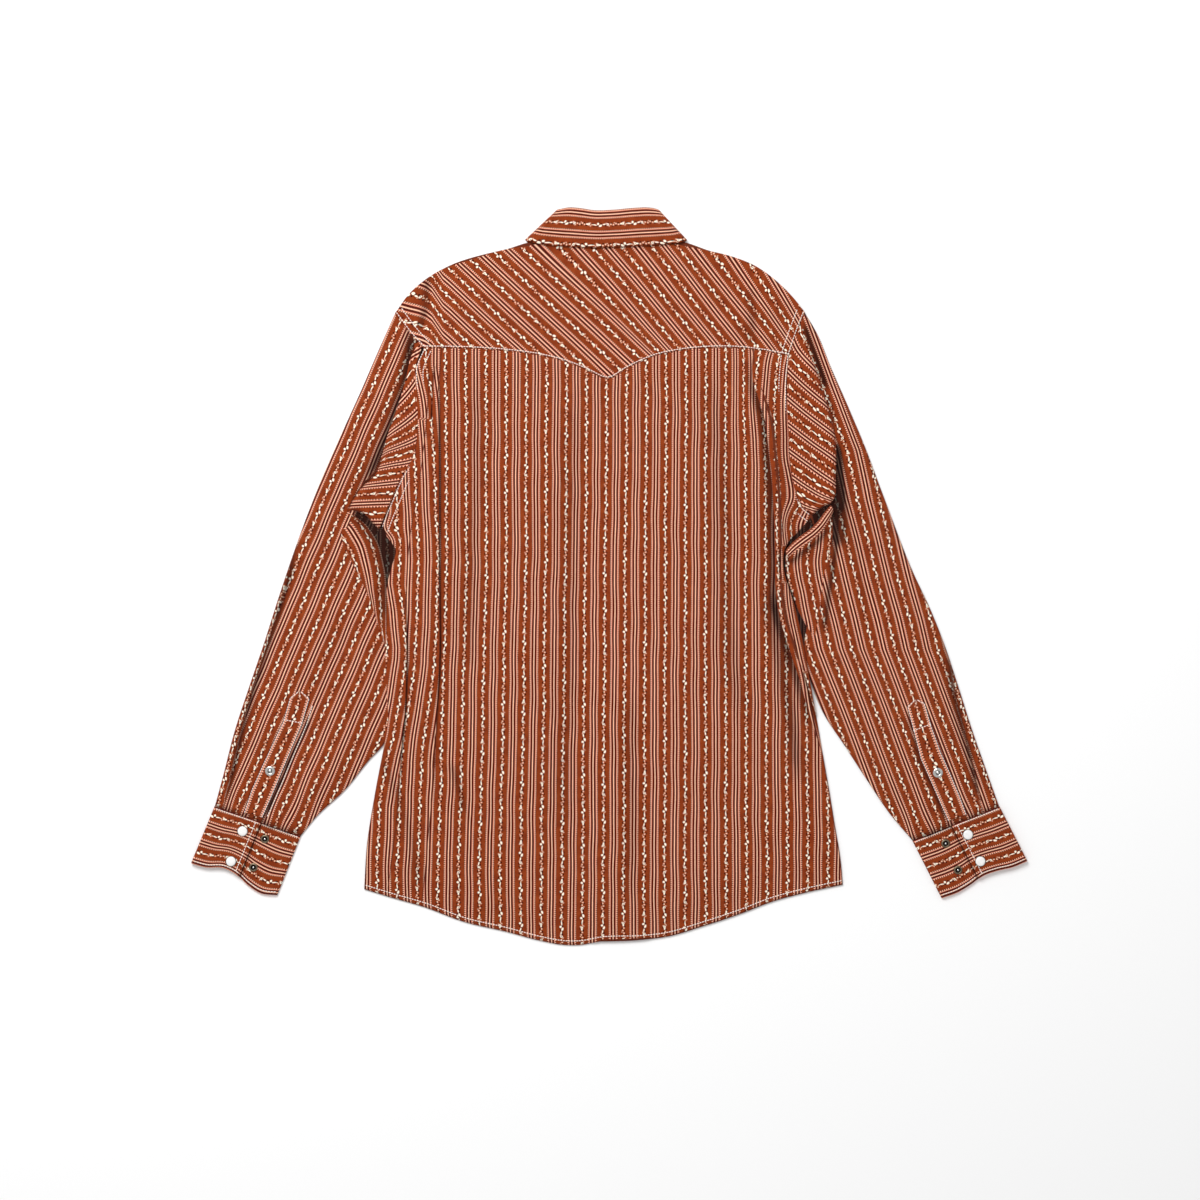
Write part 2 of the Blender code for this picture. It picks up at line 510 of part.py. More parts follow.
def sleeve_plan(side, columns):
    """Sections of a sleeve in plan: rows from armhole to cuff, columns outer to inner edge."""
    outer, inner = sleeve_edges(side)
    seam = armhole_corners(side)
    s = np.linspace(0, 1, SLEEVE_ROWS + 1)[:, None, None]
    t = columns[None, :, None]
    bow = along(seam, columns * (len(seam) - 1)) - (seam[0] * (1 - t[0]) + seam[-1] * t[0])
    plan = outer[:, None] * (1 - t) + inner[:, None] * t
    plan = plan + bow[None] * np.clip(1 - s / 0.3, 0, 1) ** 2
    plan[..., 0] += -SEAM_GAP if side == "left" else SEAM_GAP
    cuff = CUFFS[side]
    end = np.array(cuff.seam_outer) * (1 - t) + np.array(cuff.seam_inner) * t + (0, SEAM_GAP)
    fall = smoothstep((s - 0.9) / 0.1)
    plan = plan * (1 - fall) + end * fall
    plan[0] += (plan[1] - plan[0]) * 0.1 * np.clip(1 - t[0] / 0.03, 0, 1)
    return plan


def make_sleeve(side, collection):
    """A flattened tube: flat underneath, folded on top, open at the armhole and the cuff."""
    folds = LEFT_SLEEVE_FOLDS if side == "left" else RIGHT_SLEEVE_FOLDS
    corners = YOKE_CORNERS + ARMHOLE_CORNERS
    over = np.concatenate([[0.012], np.arange(1, corners) / corners, [0.988]])
    under = over[::-1]
    plan_over, plan_under = sleeve_plan(side, over), sleeve_plan(side, under)
    edges = sleeve_plan(side, np.array([0.0, 1.0]))
    height = sleeve_height(plan_over[..., 0], plan_over[..., 1], side, folds)
    top = lifted(plan_over, height)
    bottom = lifted(plan_under, np.zeros(plan_under.shape[:2]))
    edge = lifted(edges, np.full(edges.shape[:2], SLEEVE_EDGE / 2))
    grid = np.concatenate([edge[:, :1], top, edge[:, 1:], bottom], axis=1)
    if side == "right":
        grid = grid[:, ::-1]
    return sheet_object("sleeve_" + side, grid, WALL, 1, COTTON, collection, closed=True)


def make_cuff(side, collection):
    """One band that goes round the wrist and laps over its own start, on the upper side."""
    cuff = CUFFS[side]
    low = CUFF_WALL / 2
    mid = low + CUFF_WALL + LAYER_GAP
    high = mid + CUFF_WALL + LAYER_GAP
    turn_in, turn_out = (mid + low) / 2, (high + low) / 2
    stations = [(cuff.overlap - 0.17, mid), (cuff.overlap, mid), (0.78, mid), (0.97, mid),
                (0.988, mid - 0.4), (0.994, turn_in), (0.988, low + 0.4), (0.97, low),
                (0.75, low), (0.5, low), (0.25, low), (0.03, low), (0.012, low + 0.5),
                (0.004, turn_out), (0.012, high - 0.5), (0.03, high), (0.2, high),
                (0.37, high), (cuff.overlap, high)]
    w = np.array([row[0] for row in stations])[:, None]
    height = np.array([row[1] for row in stations])
    seam = np.array(cuff.seam_outer) * (1 - w) + np.array(cuff.seam_inner) * w
    free = np.array(cuff.free_outer) * (1 - w) + np.array(cuff.free_inner) * w
    down = (free - seam) / np.linalg.norm(free - seam, axis=1)[:, None]
    wave = np.interp(w[:, 0], np.linspace(0, 1, len(CUFF_WAVE)), CUFF_WAVE)
    free = free - down * wave[:, None]
    v = np.linspace(0, 1, 6)[None, :, None]
    plan = seam[:, None] * (1 - v) + free[:, None] * v
    grid = lifted(plan, np.repeat(height[:, None], 6, axis=1))
    sheet_object("cuff_" + side, grid, CUFF_WALL, 0, COTTON, collection)
    cap = [(0, CAP_HEIGHT), (2.6, CAP_HEIGHT - 0.25), (4.6, CAP_HEIGHT - 1.0),
           (CAP_RADIUS - 0.4, 1.0), (CAP_RADIUS, 0.6), (CAP_RADIUS, 0.2),
           (CAP_RADIUS - 0.3, 0), (0, 0)]
    stud = [(0, STUD_HEIGHT), (1.4, STUD_HEIGHT), (1.9, STUD_HEIGHT - 0.5), (2.1, 0.8),
            (STUD_RADIUS - 0.8, 0.8), (STUD_RADIUS, 0.5), (STUD_RADIUS, 0.1), (0, 0)]
    for k, (x, y) in enumerate(CAPS[side]):
        lathe("cuff_cap_%s_%d" % (side, k + 1), cap, SNAP_SIDES,
              (x, y, high + CUFF_WALL / 2 + LAYER_GAP), PEARL, collection)
    for k, (x, y) in enumerate(STUDS[side]):
        lathe("cuff_stud_%s_%d" % (side, k + 1), stud, SNAP_SIDES,
              (x, y, mid + CUFF_WALL / 2 + LAYER_GAP), GUNMETAL, collection)


def make_sleeve_placket(side, collection):
    """A strip sewn over the sleeve's slit, made from the sleeve's own height, moved out."""
    folds = LEFT_SLEEVE_FOLDS if side == "left" else RIGHT_SLEEVE_FOLDS
    table = smooth([tuple(row) for row in SLEEVE_PLACKETS[side]], np.linspace(0, 1, 12))
    w = np.linspace(0, 1, 4)[None, :, None]
    plan = table[:, None, 0:2] * (1 - w) + table[:, None, 2:4] * w
    lift = 3 * LAYER_GAP + WALL
    grid = lifted(plan, sleeve_height(plan[..., 0], plan[..., 1], side, folds) + lift)
    if side == "left":
        grid = grid[:, ::-1]
    sheet_object("sleeve_placket_" + side, grid, WALL, 1, COTTON, collection)
    x, y = PLACKET_SNAPS[side]
    rim = np.array(ring(x, y, PLACKET_SNAP_RADIUS, 8))
    seat = float(sleeve_height(rim[:, 0], rim[:, 1], side, folds).max()) + lift + LAYER_GAP
    snap = [(0, PLACKET_SNAP_HEIGHT), (3.2, PLACKET_SNAP_HEIGHT), (5.2, PLACKET_SNAP_HEIGHT - 0.5),
            (PLACKET_SNAP_RADIUS, 0.8), (PLACKET_SNAP_RADIUS, 0.1), (0, 0)]
    lathe("placket_snap_" + side, snap, SNAP_SIDES, (x, y, seat), STEEL, collection)


def main():
    for leftover in list(bpy.data.objects):
        bpy.data.objects.remove(leftover)
    shirt = bpy.data.collections.new("western snap shirt")
    bpy.context.scene.collection.children.link(shirt)
    make_back(shirt)
    make_yoke(shirt)
    make_front("left", shirt)
    make_front("right", shirt)
    make_front_placket(shirt)
    make_front_snaps(shirt)
    make_collar(shirt)
    for side in ("left", "right"):
        make_sleeve(side, shirt)
        make_cuff(side, shirt)
        make_sleeve_placket(side, shirt)


main()
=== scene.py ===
# %% [markdown]
# # A western snap shirt, laid out face down
#
# The real shirt is a flat-lying garment of printed cotton twill: a back, a pointed yoke cut on
# the bias, two long sleeves, a folded collar, and two cuffs with pearl snaps.  Cloth that lies
# flat is nearly two-dimensional, so every piece here is a surface over the plan: a grid of
# points with a height, thickened to a thin shell.  The frame comes first: it holds the solids
# that give each piece its size and place.

# %% Load the frame
import functools
import math
from collections import namedtuple

import bmesh
import bpy
import numpy as np
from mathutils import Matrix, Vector


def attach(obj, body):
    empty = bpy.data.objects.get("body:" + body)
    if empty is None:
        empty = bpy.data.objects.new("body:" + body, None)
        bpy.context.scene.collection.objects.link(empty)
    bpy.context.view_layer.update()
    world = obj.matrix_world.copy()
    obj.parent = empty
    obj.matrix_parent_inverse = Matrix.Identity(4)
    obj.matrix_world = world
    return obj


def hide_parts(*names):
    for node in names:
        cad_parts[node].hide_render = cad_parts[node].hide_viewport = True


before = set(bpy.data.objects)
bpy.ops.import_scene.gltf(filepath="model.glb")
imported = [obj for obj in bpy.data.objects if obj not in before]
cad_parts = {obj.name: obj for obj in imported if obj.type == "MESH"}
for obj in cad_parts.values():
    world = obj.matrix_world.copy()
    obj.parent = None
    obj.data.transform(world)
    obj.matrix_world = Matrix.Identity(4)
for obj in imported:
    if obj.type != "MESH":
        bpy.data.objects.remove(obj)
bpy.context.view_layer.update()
MM = 0.001

# %% [markdown]
# ## Curves in plan
#
# Outlines, folds and seams are short tables of places in millimetres.  A cubic Hermite curve
# through the table keeps the drawn places exactly and bends smoothly in between, which suits
# cloth edges better than straight runs, and needs far fewer places than a polyline would.


# %% Curves
def running_length(path):
    """Length along a path up to each of its points: its straight runs, added up."""
    return np.concatenate([[0.0], np.cumsum(np.linalg.norm(np.diff(path, axis=0), axis=1))])


def smooth(table, at):
    """Points on a cubic through the table's rows, at fractions of its length in plan.

    Between two rows: start and end weighted by the Hermite basis, with slopes taken from the
    neighbours on both sides."""
    points = np.array([tuple(row) for row in table], dtype=float)
    at = np.asarray(at, dtype=float)
    reach = running_length(points[:, :2])
    reach /= reach[-1]
    slope = np.gradient(points, reach, axis=0)
    span = np.clip(np.searchsorted(reach, at, side="right") - 1, 0, len(reach) - 2)
    length = (reach[span + 1] - reach[span])[:, None]
    t = (at - reach[span])[:, None] / length
    start, end = points[span], points[span + 1]
    return ((2 * t**3 - 3 * t**2 + 1) * start + (t**3 - 2 * t**2 + t) * length * slope[span]
            + (3 * t**2 - 2 * t**3) * end + (t**3 - t**2) * length * slope[span + 1])


def smoothstep(value):
    """0 below 0, 1 above 1, and 3v^2 - 2v^3 between."""
    value = np.clip(value, 0.0, 1.0)
    return value * value * (3 - 2 * value)


def x_at(table, y):
    """The x of a curve that runs down in y, read at heights y."""
    fine = smooth(table, np.linspace(0, 1, 600))
    fine = fine[np.argsort(fine[:, 1])]
    return np.interp(y, fine[:, 1], fine[:, 0])


def y_at(table, x):
    """The y of a curve that runs across in x, read at places x."""
    fine = smooth(table, np.linspace(0, 1, 600))
    fine = fine[np.argsort(fine[:, 0])]
    return np.interp(x, fine[:, 0], fine[:, 1])


def beside(x, y, table, steps=160):
    """For each point: its distance to a curve, which side it is on, and its share of the way.

    The side is the sign of the cross product of the curve's direction and the way to the
    point: +1 on the left hand of someone who walks along the curve."""
    path = smooth(table, np.linspace(0, 1, steps))
    ahead = np.gradient(path, axis=0)
    dx, dy = x[..., None] - path[:, 0], y[..., None] - path[:, 1]
    gap = dx**2 + dy**2
    near = gap.argmin(axis=-1)[..., None]
    side = np.take_along_axis(ahead[:, 0] * dy - ahead[:, 1] * dx, near, -1)[..., 0]
    distance = np.sqrt(np.take_along_axis(gap, near, -1)[..., 0])
    return distance, np.sign(side), near[..., 0] / (steps - 1)


print("a curve through three places, at its middle:", smooth([(0, 0), (10, 6), (20, 0)], [0.5])[0])

# %% [markdown]
# ### Folds
#
# A fold in flat cloth is a long ridge or valley.  It could be sculpted, but here it is a path
# in plan with a rise and two widths: its height at any point follows from the distance to the
# path.  One line of numbers then makes one fold, and it can be moved without touching a mesh.

# %% The height of a fold
Fold = namedtuple("Fold", "rise left right path")
FADE = 0.16             # share of its length over which a fold fades out at each end


def folded(x, y, folds, steps=160):
    """Sum of folds: rise times exp(-(distance / width)^2), fading out at both of its ends.

    The width differs on the two hands of the path, so a crest can be steep on one side."""
    total = np.zeros_like(x, dtype=float)
    for fold in folds:
        gap, side, run = beside(x, y, fold.path, steps)
        width = np.where(side > 0, fold.left, fold.right)
        ends = smoothstep(run / FADE) * smoothstep((1 - run) / FADE)
        total += fold.rise * np.exp(-(gap / width) ** 2) * ends
    return total


print("a ridge of 2 mm, read 0, 5 and 10 mm beside it:",
      folded(np.array([0.0, 5.0, 10.0]), np.zeros(3), [Fold(2.0, 10, 10, [(0, -50), (0, 50)])]).round(2))

# %% [markdown]
# ## Printed cotton twill
#
# The cloth is a fine cotton twill with a roller print: columns of small blossoms on a vine,
# and between them a group of lines - a dotted cream line, a maroon line on each side, and a
# pink band whose outer edge is cut into small teeth.  The print could be an image, but a chart
# of a few dots is sharper, lighter and can be read: each dot is a small ellipse, listed
# in millimetres inside one repeat, and every other column is mirrored and moved half a repeat.
# To the eye the twill is matt, with a soft sheen at grazing angles from its fuzz.

# %% Print sizes and colours
REPEAT = 22.8           # from vine to vine, mm
PERIOD = 39.8           # along one vine, mm
COLUMN_SHIFT = 0.49     # how far every other column is moved along, as a share of the period
COLUMN_STRAY = 2.6      # how far a column strays from that, mm
LINE_HALF = 0.6         # the dotted middle line's half width, mm
BEAD = 0.2              # how much wider its dots are, mm
BEAD_PITCH = 1.6        # mm
MAROON_EDGE = 2.75      # how far the maroon lines reach from the group's middle, mm
PINK_EDGE = 4.1         # and the pink bands, mm
TOOTH = 0.9             # how deep their teeth are, mm
TOOTH_PITCH = 2.35      # mm
TOOTH_ROOT = 0.75       # how far inside that edge the teeth begin, mm
TOOTH_GAP = 0.25        # how far the dark gaps between them reach beyond it, mm
TWILL_PITCH = 1.1       # mm: really 0.5, drawn coarser so that it shows
CLOUDS = 0.09           # uneven dye, in clouds to the millimetre: one is 11 mm wide
SPOTS = 0.9             # and in spots to the millimetre: one is 1.1 mm wide
RUST, RUST_DEEP = "#A04418", "#6E2309"
PINK, TEETH, MAROON = "#EA8F73", "#FFC2A4", "#531407"
CREAM, LINE, BLUSH, SPECK = "#FFF3DE", "#FDC2A2", "#F3C6A8", "#230703"

Dot = namedtuple("Dot", "across along half_width half_length turn")
BLOSSOMS = [
    Dot(1.2, 1.5, 0.9, 1.7, -20), Dot(-0.9, 4.3, 1.1, 0.95, 25), Dot(0.2, 8.4, 0.5, 2.3, 10),
    Dot(-0.2, 15.3, 1.15, 1.0, 0), Dot(-0.1, 17.4, 0.7, 1.1, 0), Dot(0.0, 33.0, 1.15, 1.0, 0),
    Dot(-0.3, 37.0, 0.55, 1.5, -12),
]
BUDS = [
    Dot(1.5, 13.2, 1.3, 0.45, 25), Dot(-1.6, 14.0, 0.9, 0.5, -20), Dot(0.5, 20.6, 0.9, 0.9, 0),
    Dot(-0.6, 23.4, 0.95, 0.85, 0), Dot(-1.6, 25.2, 0.7, 0.45, 30), Dot(0.6, 26.4, 1.1, 0.75, 10),
    Dot(-0.1, 29.4, 0.8, 1.1, 0), Dot(1.7, 31.4, 1.0, 0.5, 20), Dot(-1.4, 34.6, 0.8, 0.5, -20),
    Dot(0.3, 11.6, 0.5, 1.0, 0),
]
SPECKS = [
    Dot(-1.1, 0.6, 0.7, 0.9, 0), Dot(1.3, 5.2, 0.8, 0.8, 0), Dot(-1.0, 10.4, 0.6, 0.9, 0),
    Dot(1.5, 18.6, 0.7, 0.8, 0), Dot(-1.5, 20.9, 0.7, 0.7, 0), Dot(1.4, 23.9, 0.7, 0.7, 0),
    Dot(-1.4, 28.6, 0.7, 0.8, 0), Dot(0.1, 33.2, 0.45, 0.4, 0), Dot(1.3, 35.6, 0.7, 0.9, 0),
    Dot(-0.2, 15.5, 0.4, 0.35, 0), Dot(-2.3, 3.1, 0.45, 0.6, 20), Dot(2.3, 9.2, 0.5, 0.6, 0),
    Dot(-2.4, 16.6, 0.5, 0.5, 0), Dot(2.4, 27.6, 0.5, 0.7, 10), Dot(-2.2, 31.9, 0.5, 0.6, 0),
    Dot(1.2, 38.6, 0.6, 0.6, 0),
]
print(len(BLOSSOMS + BUDS + SPECKS), "dots in a repeat of", REPEAT, "by", PERIOD, "mm")


# %% Colours and nodes
def linear(code):
    """An sRGB hex code as linear light: ((c + 0.055) / 1.055) ^ 2.4, or c / 12.92 when dark."""
    parts = [int(code[k:k + 2], 16) / 255 for k in (1, 3, 5)]
    return tuple(((c + 0.055) / 1.055) ** 2.4 if c > 0.04045 else c / 12.92 for c in parts) + (1.0,)


def node(tree, kind, *values, **settings):
    """Adds one shader node.  Its properties come by name, and its inputs in order: a node or a
    socket is linked, a number, vector or colour is set, and None is left as it is."""
    made = tree.nodes.new("ShaderNode" + kind)
    for key, value in settings.items():
        setattr(made, key, value)
    for socket, value in zip(made.inputs, values):
        if isinstance(value, bpy.types.Node):
            value = value.outputs[0]
        if isinstance(value, bpy.types.NodeSocket):
            tree.links.new(value, socket)
        elif value is not None:
            socket.default_value = value
    return made


def plain(name, code, roughness, metallic=0.0, **sockets):
    """A material of one colour; other sockets of the shader come by name, with _ for a blank."""
    material = bpy.data.materials.new(name)
    material.use_nodes = True
    shader = material.node_tree.nodes["Principled BSDF"]
    shader.inputs["Base Color"].default_value = linear(code)
    shader.inputs["Roughness"].default_value = roughness
    shader.inputs["Metallic"].default_value = metallic
    for key, value in sockets.items():
        shader.inputs[key.replace("_", " ")].default_value = value
    return material


print("the rust ground in linear light:", [round(c, 3) for c in linear(RUST)])

# %% [markdown]
# ### The print as a material
#
# A shader answers for one point at a time, so the print is worked out backwards.  The point's
# place in the flat cloth gives the nearest vine by rounding, and the place along it as a
# remainder.  Then the inks go on one over another: the ground, the lines, the vine.  Nodes do
# this at any distance without a blur, where an image would need a pixel for every thread.


# %% Dots and waves
def dots(add, place, chart, spread):
    """Distance to the nearest dot of a chart, where 1 is the dot's edge: each dot's ellipse is
    moved, turned and stretched to the unit circle, and the smallest length is kept.  Spread is
    how far the ink runs beyond the drawn dot."""
    nearest = None
    for dot in chart:
        unit = add("Mapping", place, (dot.across, dot.along, 0), (0, 0, math.radians(dot.turn)),
                   (spread * dot.half_width, spread * dot.half_length, 1), vector_type="TEXTURE")
        size = add("VectorMath", unit, operation="LENGTH").outputs["Value"]
        nearest = size if nearest is None else add("Math", nearest, size, operation="MINIMUM")
    return nearest


def wave(add, value, pitch):
    """sin(2 pi value / pitch)."""
    return add("Math", add("Math", value, 2 * math.pi / pitch, operation="MULTIPLY"), operation="SINE")


# %% The place in the repeat
def in_repeat(add, across, along):
    """The nearest vine is round(across / repeat), and offset is the way from it.  Along it,
    every other column is mirrored and moved, and the place is wrapped to one period."""
    turns = add("Math", across, REPEAT, operation="DIVIDE")
    column = add("Math", turns, operation="ROUND")
    offset = add("Math", add("Math", turns, column, operation="SUBTRACT"), REPEAT, operation="MULTIPLY")
    parity = add("Math", add("Math", column, 2, operation="MODULO"), operation="ABSOLUTE")
    mirror = add("Math", parity, -2, 1, operation="MULTIPLY_ADD")
    wobble = add("Math", add("Math", column, 1.9, operation="MULTIPLY"), operation="SINE")
    stray = add("Math", wobble, COLUMN_STRAY, operation="MULTIPLY")
    shift = add("Math", parity, PERIOD * COLUMN_SHIFT, stray, operation="MULTIPLY_ADD")
    moved = add("Math", along, mirror, shift, operation="MULTIPLY_ADD")
    return offset, add("CombineXYZ", offset, add("Math", moved, PERIOD, operation="FLOORED_MODULO"), 0.0)


# %% Ground, lines and vine
def dyed_ground(add, place):
    """Rust that wavers to deep rust: clouds times 1.2, plus spots times 0.8, less 0.5."""
    clouds, spots = add("TexNoise", place, None, CLOUDS, 4.0), add("TexNoise", place, None, SPOTS, 2.0)
    fine = add("Math", spots, 0.8, -0.5, operation="MULTIPLY_ADD")
    tone = add("Math", clouds, 1.2, fine, operation="MULTIPLY_ADD", use_clamp=True)
    return add("MixRGB", tone, linear(RUST_DEEP), linear(RUST))


def with_lines(add, paint, offset, along):
    """The group of lines lies half-way between two vines.  Each ink covers what is nearer to
    the group's middle than its reach, and the teeth's and the dots' reach swings with a sine."""
    from_group = add("Math", REPEAT / 2, add("Math", offset, operation="ABSOLUTE"), operation="SUBTRACT")
    swing = wave(add, along, TOOTH_PITCH)
    gaps = add("Math", swing, -TOOTH, PINK_EDGE + TOOTH_GAP, operation="MULTIPLY_ADD")
    teeth = add("Math", swing, TOOTH, PINK_EDGE, operation="MULTIPLY_ADD")
    beads = add("Math", wave(add, along, BEAD_PITCH), BEAD, LINE_HALF, operation="MULTIPLY_ADD")
    inks = [(gaps, SPECK, 0.9), (teeth, TEETH, 1.0), (PINK_EDGE - TOOTH_ROOT, PINK, 1.0),
            (MAROON_EDGE, MAROON, 1.0), (beads, LINE, 1.0)]
    for reach, code, cover in inks:
        inside = add("Math", from_group, reach, operation="LESS_THAN")
        paint = add("MixRGB", add("Math", inside, cover, operation="MULTIPLY"), paint, linear(code))
    return paint


def with_vine(add, paint, motif):
    """Each chart's ink covers what lies inside one of its dots."""
    for chart, code, spread in ((BUDS, BLUSH, 1.0), (BLOSSOMS, CREAM, 1.25), (SPECKS, SPECK, 1.2)):
        inked = add("Math", dots(add, motif, chart, spread), 1.0, operation="LESS_THAN")
        paint = add("MixRGB", inked, paint, linear(code))
    return paint


# %% The whole cloth
def printed_cotton(name):
    """Twill with the print, and with shade painted into its colour by each point's share of
    painted shade.  A piece's UV map is its flat cloth in metres: the first coordinate
    runs across the stripes, the second along them."""
    material = plain(name, RUST, 0.85, Sheen_Weight=0.04, Sheen_Roughness=0.5,
                     Specular_IOR_Level=0.12)
    tree = material.node_tree
    add = functools.partial(node, tree)
    shader = tree.nodes["Principled BSDF"]
    place = add("VectorMath", add("TexCoord").outputs["UV"], (1000, 1000, 0), operation="MULTIPLY")
    axes = add("SeparateXYZ", place)
    across, along = axes.outputs[0], axes.outputs[1]
    offset, motif = in_repeat(add, across, along)
    paint = with_vine(add, with_lines(add, dyed_ground(add, place), offset, along), motif)

    twill = wave(add, add("Math", across, 0.8, along, operation="MULTIPLY_ADD"), TWILL_PITCH)
    lift = add("Math", twill, 0.14, 0.93, operation="MULTIPLY_ADD")
    weave = add("MixRGB", 1.0, paint, add("CombineXYZ", lift, lift, lift), blend_type="MULTIPLY")
    # Painted shade: each point's share, times 0.92, darkens the colour towards near-black #0E0302.
    hidden = add("Attribute", attribute_name="hollow").outputs["Fac"]
    dark = add("Math", hidden, 0.92, operation="MULTIPLY")
    shaded = add("MixRGB", dark, weave, linear("#0E0302"))
    tree.links.new(shaded.outputs[0], shader.inputs["Base Color"])
    bump = add("Bump", 0.35, 0.00012)
    tree.links.new(twill.outputs[0], bump.inputs["Height"])
    tree.links.new(bump.outputs[0], shader.inputs["Normal"])
    return material


PRINT = printed_cotton("printed cotton twill")
print("print:", len(PRINT.node_tree.nodes), "nodes")


# %% The cloth's wrong side and its thread
def grained(name, dark, light, size, roughness, metallic=0.0, **sockets):
    """A material whose tint wavers between two colours in cloudy grains of a size in mm."""
    material = plain(name, light, roughness, metallic, **sockets)
    tree = material.node_tree
    place = node(tree, "TexCoord").outputs["Object"]
    grain = node(tree, "TexNoise", place, None, 1000.0 / size, 3.0, 0.6)
    tint = node(tree, "MixRGB", grain, linear(dark), linear(light))
    tree.links.new(tint.outputs[0], tree.nodes["Principled BSDF"].inputs["Base Color"])
    return material


# The print shows through the wrong side as a faint, cloudy brown, made darker than the real wrong side as
# painted shade, so that where it shows in folds and cavities it reads as shadow.
WRONG_SIDE_DARKENED_AS_SHADE = grained("wrong side of the twill", "#4A1C10", "#7A3A24", 2.2, 0.9,
                     Specular_IOR_Level=0.1)
# Thread is a hard twist: it glints a little, and its plies show as fine grain.
THREAD = grained("white polyester topstitching thread", "#F3DDD0", "#FFF7F1", 0.8, 0.5,
                 Sheen_Weight=0.2)
print("materials:", [material.name for material in (PRINT, WRONG_SIDE_DARKENED_AS_SHADE, THREAD)])

# %% [markdown]
# ## Cloth as a mesh
#
# Each piece of cloth is a grid: rows go towards the hem and columns across, so that its faces
# look up.  Every point also gets its place in the flat, uncut cloth, as a UV map in metres,
# because a print belongs to the cloth and not to the room.  Where layers lie so close that no
# light gets in, and along valleys, slits and creases, a second value, "hollow", darkens
# the material's colour towards near black: shade painted into the cloth.


# %% Points and faces
SAME_PLACE = 0.002      # points nearer than this are one point, mm


def stack(*parts):
    """Arrays stretched to one shape and put side by side, as the coordinates of points."""
    return np.stack(np.broadcast_arrays(*parts), axis=-1).astype(float)


def quads(index):
    """One face between each four neighbours in a grid of point numbers.  It looks up when rows
    run towards the hem and columns to the right."""
    corners = [index[..., :-1, :-1], index[..., 1:, :-1], index[..., 1:, 1:], index[..., :-1, 1:]]
    return np.stack(corners, axis=-1).reshape(-1, 4)


def mesh_object(name, points, faces, materials):
    """A smooth mesh object from points in millimetres."""
    mesh = bpy.data.meshes.new(name)
    mesh.from_pydata((np.asarray(points) * MM).tolist(), [], np.asarray(faces).tolist())
    for material in materials:
        mesh.materials.append(material)
    mesh.shade_smooth()
    piece = bpy.data.objects.new(name, mesh)
    bpy.context.scene.collection.objects.link(piece)
    return piece


def join_doubles(mesh, outwards=False):
    """Points in the same place become one, and on request all faces are turned outwards."""
    joined = bmesh.new()
    joined.from_mesh(mesh)
    bmesh.ops.remove_doubles(joined, verts=joined.verts, dist=SAME_PLACE * MM)
    if outwards:
        bmesh.ops.recalc_face_normals(joined, faces=joined.faces)
    joined.to_mesh(mesh)
    joined.free()


print("a grid of 3 by 4 points has", len(quads(np.arange(12).reshape(3, 4))), "faces")

# %% A grid of points as thin cloth
# The third field is each point's share of painted shade, from 0 to 1.
Panel = namedtuple("Panel", "grid cloth hollow")
WALL = 0.7              # one layer of cotton twill with its nap, mm


def panel(grid, cloth, hollow=0.0, turned=False):
    """A grid with its place in the flat cloth and its shade.  Turned reverses the columns, so
    that the faces look the other way."""
    hollow = np.broadcast_to(np.asarray(hollow, dtype=float), grid.shape[:2])
    way = slice(None, None, -1 if turned else None)
    return Panel(grid[:, way], cloth[:, way], hollow[:, way])


def sew(name, panels, wall=WALL, offset=-1.0, lined=False):
    """One cloth piece from one or more grids: a quad between each four neighbours, then a wall
    of even thickness below the surface, whose inner side is the wrong side of the cloth, or
    its right side again where the piece is sewn from two layers."""
    points, faces, cloth, hollow, start = [], [], [], [], 0
    for grid, place, shade in panels:
        index = start + np.arange(shade.size).reshape(shade.shape)
        faces.append(quads(index))
        points.append(grid.reshape(-1, 3))
        cloth.append(place.reshape(-1, 2))
        hollow.append(shade.reshape(-1))
        start += index.size
    points, faces = np.vstack(points), np.vstack(faces)
    piece = mesh_object(name + "_cloth", points, faces, [PRINT, WRONG_SIDE_DARKENED_AS_SHADE])
    mesh = piece.data
    layer = mesh.uv_layers.new(name="cloth")
    layer.data.foreach_set("uv", (np.vstack(cloth)[faces.reshape(-1)] * MM).reshape(-1))
    # Each point's share of painted shade goes to an attribute that the print material reads.
    shade = mesh.attributes.new("hollow", "FLOAT", "POINT")
    shade.data.foreach_set("value", np.concatenate(hollow))
    join_doubles(mesh)
    thicken = piece.modifiers.new("wall", "SOLIDIFY")
    thicken.thickness = wall * MM
    thicken.offset = offset
    thicken.material_offset = 0 if lined else 1
    print(name, len(mesh.polygons), "faces")
    return piece


# %% Shapes that every piece of cloth needs
def rounded(distance, reach):
    """A quarter of an ellipse: 0 at an edge, 1 from `reach` on: sqrt(1 - (1 - d / reach)^2)."""
    inside = 1 - np.clip(distance / reach, 0, 1)
    return np.sqrt(1 - inside**2)


def near_curve(x, y, table, steps=90):
    """Distance in plan from each point to a curve."""
    path = smooth(table, np.linspace(0, 1, steps))
    return np.sqrt(((x[..., None] - path[:, 0])**2 + (y[..., None] - path[:, 1])**2).min(axis=-1))


def ripples(x, y):
    """Small unevenness of washed cotton: five slow waves that cross each other."""
    return (0.16 * np.sin(x / 17 + y / 41) + 0.14 * np.sin(x / 29 - y / 23 + 1.7)
            + 0.10 * np.sin(x / 11 + y / 13 + 0.6) + 0.07 * np.sin(x / 7.3 - y / 19 + 2.9)
            + 0.05 * np.sin(y / 5.9 + x / 31))


